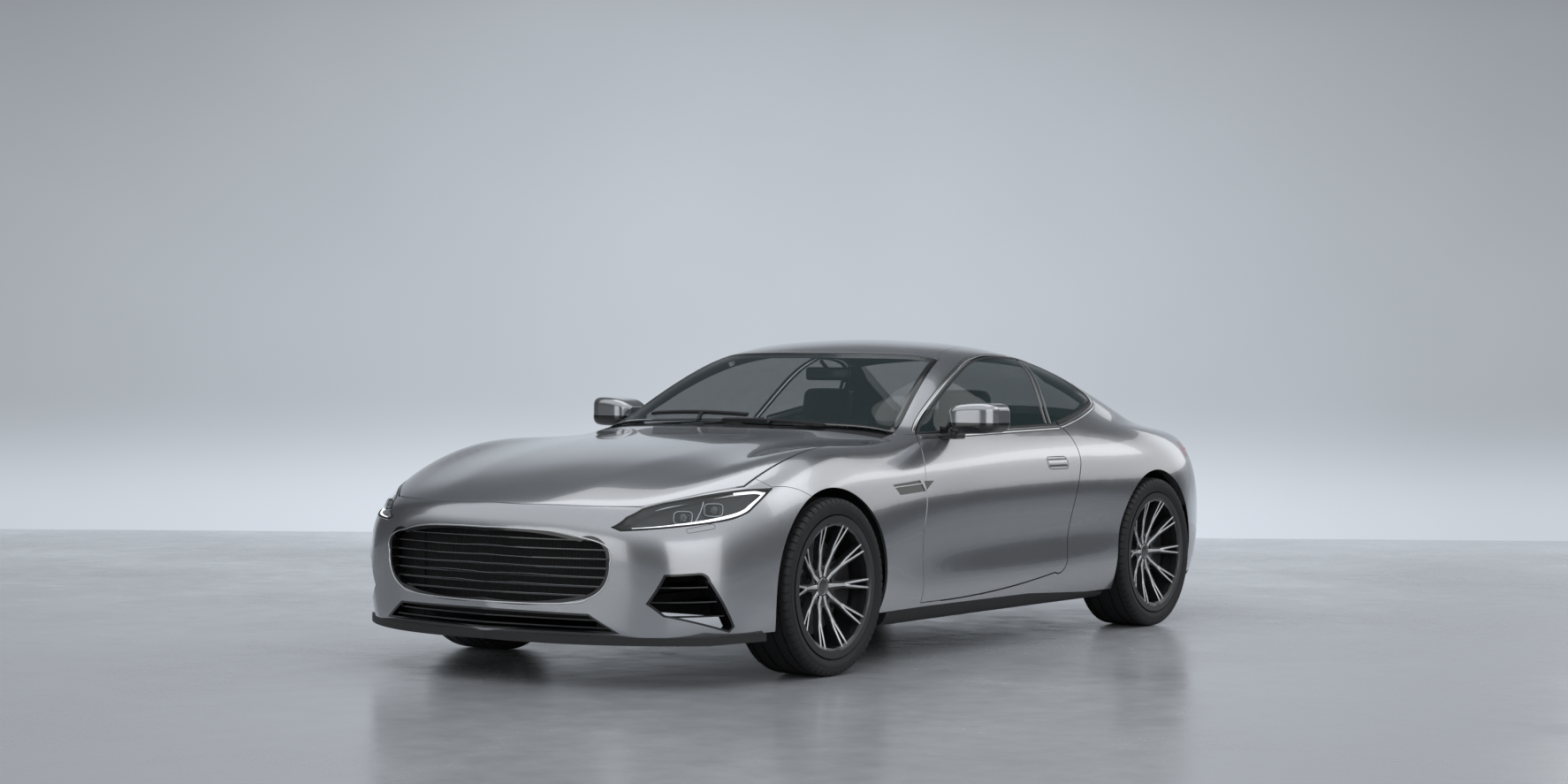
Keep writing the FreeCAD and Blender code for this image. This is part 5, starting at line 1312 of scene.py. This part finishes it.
class COUPE_OT_grille(Operator):
    """Bright edge, lit bar edges, the mesh behind them and the air guides"""

    bl_idname = "coupe.grille"
    bl_label = "Grille"

    def execute(self, context):
        places = [skin.front(p.x, p.y) for p in even(whole_ring(GRILLE), 0.012, True)]
        ribbon("grille_edge", places, strip(0.0060, 0.0016, 0.002, 0.3, 0.0020), "bright",
               closed=True)
        half = bend(GRILLE)
        bars, mesh = [], []
        for k in range(GRILLE_BARS):
            height = GRILLE_LOW + (GRILLE_HIGH - GRILLE_LOW) * (k + 1) / (GRILLE_BARS + 1)
            reach = ring_width(half, height) - GRILLE_FRAME
            line = even([Vector((-reach, height + BAR / 2)), Vector((reach, height + BAR / 2))], 0.02)
            places = sunk([skin.front(p.x, p.y) for p in line], BAR_FRONT)
            bars.append(sweep("bar", places, strip(0.0022, 0.0012, 0.003)))
        bars = smooth(join("grille_bar_edges", bars), 50)
        settle(bars, "body", FINISH["bar_edge"])
        middles = [a.lerp(b, 0.5) for a, b in zip(half, half[1:])]
        for k in range(-MESH_WIRES, MESH_WIRES + 1):
            y = k * MESH_STEP
            tops = [p.y for p in middles if abs(p.x - abs(y)) < MESH_REACH]
            if len(tops) < 2 or max(tops) - min(tops) < MESH_SHORTEST:
                continue
            line = even([Vector((y, min(tops) + MESH_GAP)), Vector((y, max(tops) - MESH_GAP))], 0.05)
            places = sunk([skin.front(p.x, p.y) for p in line], BAR_BACK)
            mesh.append(sweep("wire", places, strip(0.0020, 0.0015, 0.001)))
        settle(join("grille_mesh", mesh), "body", FINISH["moulded"])
        x, y, z = AIR_GUIDE_PLACE
        for side, label in SIDES:
            guide = box_piece("air_guide_" + label, (x, side * y, z), AIR_GUIDE_SIZE)
            settle(guide, "body", FINISH["moulded"])
        return {"FINISHED"}


MIRROR_SPLIT = 1.0020
MIRROR_VOXEL = 0.0035
MIRROR_ROUNDS = 26
MIRROR_FACING, MIRROR_INNER, MIRROR_OUTER, MIRROR_LOW = 0.80, 0.900, 1.090, 0.960


def below_split(normal, place):
    return place.z < MIRROR_SPLIT


def mirror_face(normal, place):
    """The flat face that looks rearwards, clear of the head's rounded edge."""
    return (normal.x > MIRROR_FACING and MIRROR_INNER < abs(place.y) < MIRROR_OUTER
            and place.z > MIRROR_LOW)


class COUPE_OT_mirrors(Operator):
    """Two-tone door mirrors with their glass"""

    bl_idname = "coupe.mirrors"
    bl_label = "Mirrors"

    def execute(self, context):
        for side, label in SIDES:
            node = "mirror_" + label
            head = loose_copy(node, "mirror_head_" + label)
            modify(head, "REMESH", mode="VOXEL", voxel_size=MIRROR_VOXEL)
            modify(head, "SMOOTH", factor=0.5, iterations=MIRROR_ROUNDS)
            smooth(head, 60)
            lower = part_of("mirror_lower_" + label, head, below_split, 0.0006, 0.001, 60,
                            ((0, 0, MIRROR_SPLIT), (0, 0, 1)))
            settle(lower, body_of(node), FINISH["gloss_black"])
            glass = part_of("mirror_glass_" + label, head, mirror_face, 0.0012, 0.001, 60)
            settle(glass, body_of(node), FINISH["mirror"])
            settle(head, body_of(node), stands_for=(node,))
        return {"FINISHED"}


PIPE_SIDE, PIPE_HEIGHT, PIPE_RING, PIPE_MOUTH = 0.470, 0.300, 0.0392, 0.0370


class COUPE_OT_tail(Operator):
    """Bright rings of the exhaust, and black discs in their mouths as painted shade of the hollow pipes"""

    bl_idname = "coupe.tail"
    bl_label = "Tail"

    def execute(self, context):
        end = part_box("exhaust")[1][0]
        for side, label in SIDES:
            centre = Vector((end, side * PIPE_SIDE, PIPE_HEIGHT))
            rim = ring("tip", centre - Vector((0.003, 0, 0)), (1, 0, 0), PIPE_RING, 0.0030, 64)
            settle(rim, "body", FINISH["steel"]).name = "exhaust_ring_" + label
            # A black disc in the pipe's mouth: painted shade of the hollow pipe.
            hole = rod("hole", centre - Vector((0.004, 0, 0)), centre + Vector((0.0006, 0, 0)),
                       PIPE_MOUTH, 48)
            settle(hole, "body", FINISH["mouth_shade"]).name = "exhaust_mouth_" + label
        return {"FINISHED"}


# ---------------------------------------------------------------------------------------
# Cabin
# ---------------------------------------------------------------------------------------
LINED = {"door_left": 0.30, "door_right": 0.30, "roof": 0.0, "body_side_left": 0.25,
         "body_side_right": 0.25}
LINING_DEPTH, LINING_FACING, LINING_FRONT, LINING_REAR = 0.008, -0.25, -0.70, 1.75
CLOTH_FRAMES, CLOTH_PRESSURE, SWELL_LIMIT, VOXEL = 20, 4.0, 0.012, 0.006


def inner_face(low):
    """Tells the faces of a panel that look into the cabin, above a height."""
    def keep(normal, place):
        _, outwards, distance = skin.nearest(place)
        return (distance > LINING_DEPTH and normal.dot(outwards) < LINING_FACING
                and place.z > low and LINING_FRONT < place.x < LINING_REAR)
    return keep


def puff(piece):
    """Blown up as cloth, each point held near where it began, then smoothed."""
    modify(piece, "REMESH", mode="VOXEL", voxel_size=VOXEL)
    start = np.array([v.co for v in piece.data.vertices])
    scene = bpy.context.scene
    take(piece)
    cloth = piece.modifiers.new("cloth", "CLOTH")
    cloth.settings.use_pressure = True
    cloth.settings.uniform_pressure_force = CLOTH_PRESSURE
    cloth.settings.effector_weights.gravity = 0
    for k in range(1, CLOTH_FRAMES + 1):
        scene.frame_set(k)
    bpy.ops.object.modifier_apply(modifier=cloth.name)
    scene.frame_set(1)
    moved = np.array([v.co for v in piece.data.vertices]) - start
    far = np.linalg.norm(moved, axis=1, keepdims=True)
    moved *= np.minimum(1, SWELL_LIMIT / np.maximum(far, 1e-9))
    piece.data.vertices.foreach_set("co", (start + moved).ravel())
    modify(piece, "SMOOTH", factor=0.6, iterations=6)
    smooth(piece, 60)
    return piece


def pad(name, centre, size, turn):
    """A cushion: a rounded box, blown up."""
    piece = box_piece(name, centre, size, min(size) * 0.42, (0, turn, 0), 4)
    bpy.ops.object.transform_apply(location=True, rotation=True, scale=True)
    return puff(piece)


SEAT_LEAN, CUSHION_TILT = 0.262, -0.06
SEAT_PADS = (
    ("cushion", (0.150, -0.385, 0.425), (0.500, 0.300, 0.115), CUSHION_TILT),
    ("bolster_in", (0.160, -0.215, 0.440), (0.480, 0.085, 0.130), CUSHION_TILT),
    ("bolster_out", (0.160, -0.555, 0.440), (0.480, 0.085, 0.130), CUSHION_TILT),
    ("back", (0.505, -0.385, 0.720), (0.115, 0.290, 0.540), SEAT_LEAN),
    ("wing_in", (0.500, -0.215, 0.700), (0.135, 0.085, 0.480), SEAT_LEAN),
    ("wing_out", (0.500, -0.555, 0.700), (0.135, 0.085, 0.480), SEAT_LEAN),
    ("headrest", (0.622, -0.385, 1.055), (0.095, 0.260, 0.155), 0.20),
    ("rear_cushion", (0.800, -0.3375, 0.400), (0.200, 0.390, 0.085), 0.10),
    ("rear_back", (0.925, -0.3375, 0.610), (0.090, 0.390, 0.370), 0.22))
SEAT_BOXES = (
    ("pan", (0.170, 0.385, 0.335), (0.560, 0.430, 0.075), 0.02, 0),
    ("rail", (0.210, 0.540, 0.247), (0.560, 0.040, 0.105), 0.004, 0),
    ("rail", (0.210, 0.230, 0.247), (0.560, 0.040, 0.105), 0.004, 0),
    ("shell", (0.570, 0.385, 0.690), (0.050, 0.420, 0.640), 0.02, SEAT_LEAN))
POST_SIDES, POST_RADIUS = (0.440, 0.330), 0.007
POST_FOOT, POST_TOP = (0.600, 0.930), (0.627, 1.035)
STANDS_FOR = {"cushion_left": "front_seat_left", "cushion_right": "front_seat_right",
              "rear_cushion_left": "rear_seats"}


def seat_shell(side, label):
    """The pan, rails, back and head rest posts of a front seat."""
    pieces = [box_piece(name, (x, side * y, z), size, round_, (0, lean, 0))
              for name, (x, y, z), size, round_, lean in SEAT_BOXES]
    pieces += [rod("post", (POST_FOOT[0], side * y, POST_FOOT[1]),
                   (POST_TOP[0], side * y, POST_TOP[1]), POST_RADIUS) for y in POST_SIDES]
    return join("seat_shell_" + label, pieces)


class COUPE_OT_cabin(Operator):
    """Linings, padded seats, seat shells and the interior mirror"""

    bl_idname = "coupe.cabin"
    bl_label = "Cabin"

    def execute(self, context):
        for node, low in LINED.items():
            lining = part_of("lining_" + node, node, inner_face(low), 0.0010, 0.0010, 40)
            finish = "headlining" if node == "roof" else "dash"
            settle(lining, body_of(node), FINISH[finish])
        made = {}
        for key, centre, size, turn in SEAT_PADS:
            left = pad(key + "_left", centre, size, turn)
            made[key + "_left"] = left
            right = mirrored(left, key + "_right")
            made[key + "_right"] = right
        for name, piece in made.items():
            stands = (STANDS_FOR[name],) if name in STANDS_FOR else ()
            settle(piece, "body", FINISH["leather"], stands_for=stands)
        for side, label in SIDES:
            settle(seat_shell(side, label), "body", FINISH["moulded"])
        glass = box_piece("cabin_mirror", (0.045, 0.0, 1.205), (0.030, 0.235, 0.060), 0.013)
        stem = rod("stem", (0.045, 0, 1.225), (-0.010, 0, 1.262), 0.009, 16)
        settle(join("cabin_mirror", [glass, stem]), "body", FINISH["gloss_black"])
        return {"FINISHED"}


# ---------------------------------------------------------------------------------------
# Stage: floor, wall, lights, camera
# ---------------------------------------------------------------------------------------
CAMERA_PLACE = Vector((-10.562, -7.055, 1.232))
CAMERA_YAW, CAMERA_PITCH, CAMERA_ROLL = 55.46819, 0.50525, 0.44417
CAMERA_LENS, CAMERA_SENSOR = 63.68, 36.0
WALL_DISTANCE, WALL_HALF = 20.4, (30, 7)
FLOOR_HALF = 40.0
# Ranges of the wall's light: from, to, value at each, easing
WALL_FOOT = (0.0, 1.15, 1.0, 0.0, "SMOOTHERSTEP")
WALL_DIM = (1.6, 7.0, 1.0, 0.45, "SMOOTHSTEP")
WALL_TOP = (3.7, 5.4, 1.0, 0.5, "SMOOTHSTEP")
WALL_MIDDLE = (0.5, 6.5, 1.30, 0.88, "SMOOTHSTEP")
WALL_END = (7.0, 9.5, 1.0, 0.12, "SMOOTHSTEP")
WALL_CLOUDS = (0.0, 1.0, 0.90, 1.10)
FOOT_GLOW = 0.50
SKY_RANGE, SKY_TINT = (0.08, 0.50), (0.94, 0.97, 1.0, 1)
# Name, centre, aim, size, the brightness it follows and its share of it
SOFTBOXES = (
    ("top_softbox", (0.3, 0, 5.5), (0, 0, 0), (7.0, 3.0), "top_light", 1),
    ("side_softbox", (8.0, -7.5, 6.2), (0, -0.9, 0.8), (9.0, 4.0), "side_light", 1),
    ("low_softbox", (8.8, -2.8, 2.95), (0, -0.9, 0.6), (7.5, 2.6), "side_light", 0.75),
    ("corner_softbox", (-5.0, -10.5, 2.4), (-1.5, -0.5, 0.6), (11.0, 5.0), "front_light", 1),
    ("front_softbox", (-11.0, 1.5, 1.6), (-2.0, 0, 0.6), (8.0, 2.6), "front_light", 1))


def view_axes():
    """The camera's right, up and forward directions."""
    yaw, pitch, roll = (math.radians(a) for a in (CAMERA_YAW, CAMERA_PITCH, CAMERA_ROLL))
    forward = Vector((math.sin(yaw) * math.cos(pitch), math.cos(yaw) * math.cos(pitch), -math.sin(pitch)))
    level = Vector((math.cos(yaw), -math.sin(yaw), 0))
    upright = level.cross(forward)
    right = math.cos(roll) * level + math.sin(roll) * upright
    up = -math.sin(roll) * level + math.cos(roll) * upright
    return right, up, forward


def floor_finish():
    material, tree, shader, slow = varied_finish(
        "studio_floor", stage().floor, 0.07, 0.55, 0.23, 0.08)
    fast = place(tree, "mottle", Colour=slow["Colour"], Amount=0.035, Scale=6.0,
                 Roughness=slow["Roughness"], Roughness_spread=0.04)
    tree.links.new(fast["Colour"], shader.inputs["Base Color"])
    tree.links.new(fast["Roughness"], shader.inputs["Roughness"])
    bump(tree, shader, noise(tree, 3.5, 5.0), 0.25, 0.006)
    return material


def wall_finish():
    """A wall that seems lit by itself, brightest at its foot, and is clear from behind."""
    material = bpy.data.materials.new("studio_wall")
    material.use_nodes = True
    tree = material.node_tree
    tree.nodes.clear()
    right, _, forward = view_axes()
    height = add(tree, "ShaderNodeSeparateXYZ", {0: mapped(tree)}).outputs[2]
    away = add(tree, "ShaderNodeVectorMath", {0: mapped(tree), 1: CAMERA_PLACE + forward * WALL_DISTANCE},
               operation="SUBTRACT")
    sideways = add(tree, "ShaderNodeVectorMath", {0: away.outputs[0], 1: right},
                   operation="DOT_PRODUCT")
    width = worked(tree, "ABSOLUTE", sideways.outputs["Value"])
    uneven = worked(tree, "MULTIPLY", ranged(tree, width, *WALL_MIDDLE),
                    ranged(tree, noise(tree, 0.35, 3.0), *WALL_CLOUDS))
    above = worked(tree, "MULTIPLY", ranged(tree, height, *WALL_DIM), ranged(tree, height, *WALL_TOP))
    glowing = worked(tree, "MULTIPLY_ADD", ranged(tree, height, *WALL_FOOT), FOOT_GLOW,
                     worked(tree, "MULTIPLY", uneven, above))
    lit = worked(tree, "MULTIPLY", glowing, ranged(tree, width, *WALL_END))
    glow = add(tree, "ShaderNodeEmission", {"Color": (*stage().wall, 1), "Strength": lit})
    incoming = add(tree, "ShaderNodeNewGeometry").outputs["Incoming"]
    seen_from = add(tree, "ShaderNodeVectorMath", {0: incoming, 1: forward}, operation="DOT_PRODUCT")
    shown = add(tree, "ShaderNodeMixShader", {
        0: worked(tree, "LESS_THAN", seen_from.outputs["Value"], 0.0),
        1: add(tree, "ShaderNodeBsdfTransparent").outputs[0], 2: glow.outputs[0]})
    add(tree, "ShaderNodeOutputMaterial", {0: shown.outputs[0]})
    return material


def soft_light(name, centre, aim, size, brightness):
    """A softbox; it lights and is reflected, and isn't seen itself."""
    data = bpy.data.lights.new(name, "AREA")
    data.shape = "RECTANGLE"
    data.size, data.size_y = size
    data.energy = brightness * size[0] * size[1] * math.pi
    lamp = bpy.data.objects.new(name, data)
    bpy.context.scene.collection.objects.link(lamp)
    lamp.location = centre
    lamp.rotation_euler = (Vector(aim) - Vector(centre)).to_track_quat("-Z", "Y").to_euler()
    lamp.visible_camera = False
    return lamp


class COUPE_OT_stage(Operator):
    """Floor, wall, soft lights and the camera"""

    bl_idname = "coupe.stage"
    bl_label = "Stage"

    def execute(self, context):
        right, up, forward = view_axes()
        deselect()
        level = Vector((forward.x, forward.y, 0)).normalized()
        foot = Vector((CAMERA_PLACE.x, CAMERA_PLACE.y, 0)) + level * WALL_DISTANCE
        turn = math.atan2(-level.x, level.y)
        bpy.ops.mesh.primitive_plane_add(size=2 * FLOOR_HALF, location=(0, 0, 0))
        floor = context.object
        floor.name = "floor"
        floor.data.materials.append(floor_finish())
        bpy.ops.mesh.primitive_plane_add(size=2, location=foot + Vector((0, 0, WALL_HALF[1])),
                                         rotation=(math.pi / 2, 0, turn))
        wall = context.object
        wall.name = "wall"
        wall.scale = (*WALL_HALF, 1)
        bpy.ops.object.transform_apply(location=True, rotation=True, scale=True)
        wall.data.materials.append(wall_finish())
        wall.visible_shadow = False

        for name, centre, aim, size, light, share in SOFTBOXES:
            soft_light(name, centre, aim, size, share * getattr(stage(), light))

        world = bpy.data.worlds.new("studio")
        context.scene.world = world
        world.use_nodes = True
        tree = world.node_tree
        tree.nodes.clear()
        way = add(tree, "ShaderNodeTexCoord").outputs["Generated"]
        height = add(tree, "ShaderNodeSeparateXYZ", {0: way}).outputs[2]
        sky = stage().sky
        share = ranged(tree, height, *SKY_RANGE, stage().dusk * sky, sky, "SMOOTHSTEP")
        glow = add(tree, "ShaderNodeBackground", {"Color": SKY_TINT, "Strength": share})
        add(tree, "ShaderNodeOutputWorld", {0: glow.outputs[0]})

        data = bpy.data.cameras.new("camera")
        data.sensor_fit = "HORIZONTAL"
        data.sensor_width, data.lens = CAMERA_SENSOR, CAMERA_LENS
        data.clip_end = 200
        camera = bpy.data.objects.new("camera", data)
        context.scene.collection.objects.link(camera)
        camera.matrix_world = Matrix((
            (right.x, up.x, -forward.x, CAMERA_PLACE.x), (right.y, up.y, -forward.y, CAMERA_PLACE.y),
            (right.z, up.z, -forward.z, CAMERA_PLACE.z), (0, 0, 0, 1)))
        context.scene.camera = camera
        context.scene.view_settings.view_transform = "Standard"
        return {"FINISHED"}


OPERATORS = (COUPE_OT_finishes, COUPE_OT_panels, COUPE_OT_wheels, COUPE_OT_windows, COUPE_OT_lamps,
             COUPE_OT_grille, COUPE_OT_mirrors, COUPE_OT_tail, COUPE_OT_cabin, COUPE_OT_stage)


class COUPE_PT_panel(Panel):
    """Lists the operators that finish the coupe"""

    bl_label = "Coupe car"
    bl_idname = "COUPE_PT_panel"
    bl_space_type = "VIEW_3D"
    bl_region_type = "UI"
    bl_category = "Coupe"

    def draw(self, context):
        for group in (colours(), trim(), stage()):
            for key in group.bl_rna.properties.keys():
                if key not in ("rna_type", "name"):
                    self.layout.prop(group, key)
        for operator in OPERATORS:
            self.layout.operator(operator.bl_idname)


GROUP_CLASSES = (CoupeColours, CoupeTrim, CoupeStage)


def register():
    for cls in GROUP_CLASSES + OPERATORS + (COUPE_PT_panel,):
        bpy.utils.register_class(cls)
    bpy.types.Scene.coupe_colours = PointerProperty(type=CoupeColours)
    bpy.types.Scene.coupe_trim = PointerProperty(type=CoupeTrim)
    bpy.types.Scene.coupe_stage = PointerProperty(type=CoupeStage)


def unregister():
    del bpy.types.Scene.coupe_colours, bpy.types.Scene.coupe_trim, bpy.types.Scene.coupe_stage
    for cls in (COUPE_PT_panel,) + OPERATORS[::-1] + GROUP_CLASSES[::-1]:
        bpy.utils.unregister_class(cls)


def main():
    register()
    for operator in OPERATORS:
        group, name = operator.bl_idname.split(".")
        getattr(getattr(bpy.ops, group), name)()
    deselect()


if __name__ == "__main__":
    main()
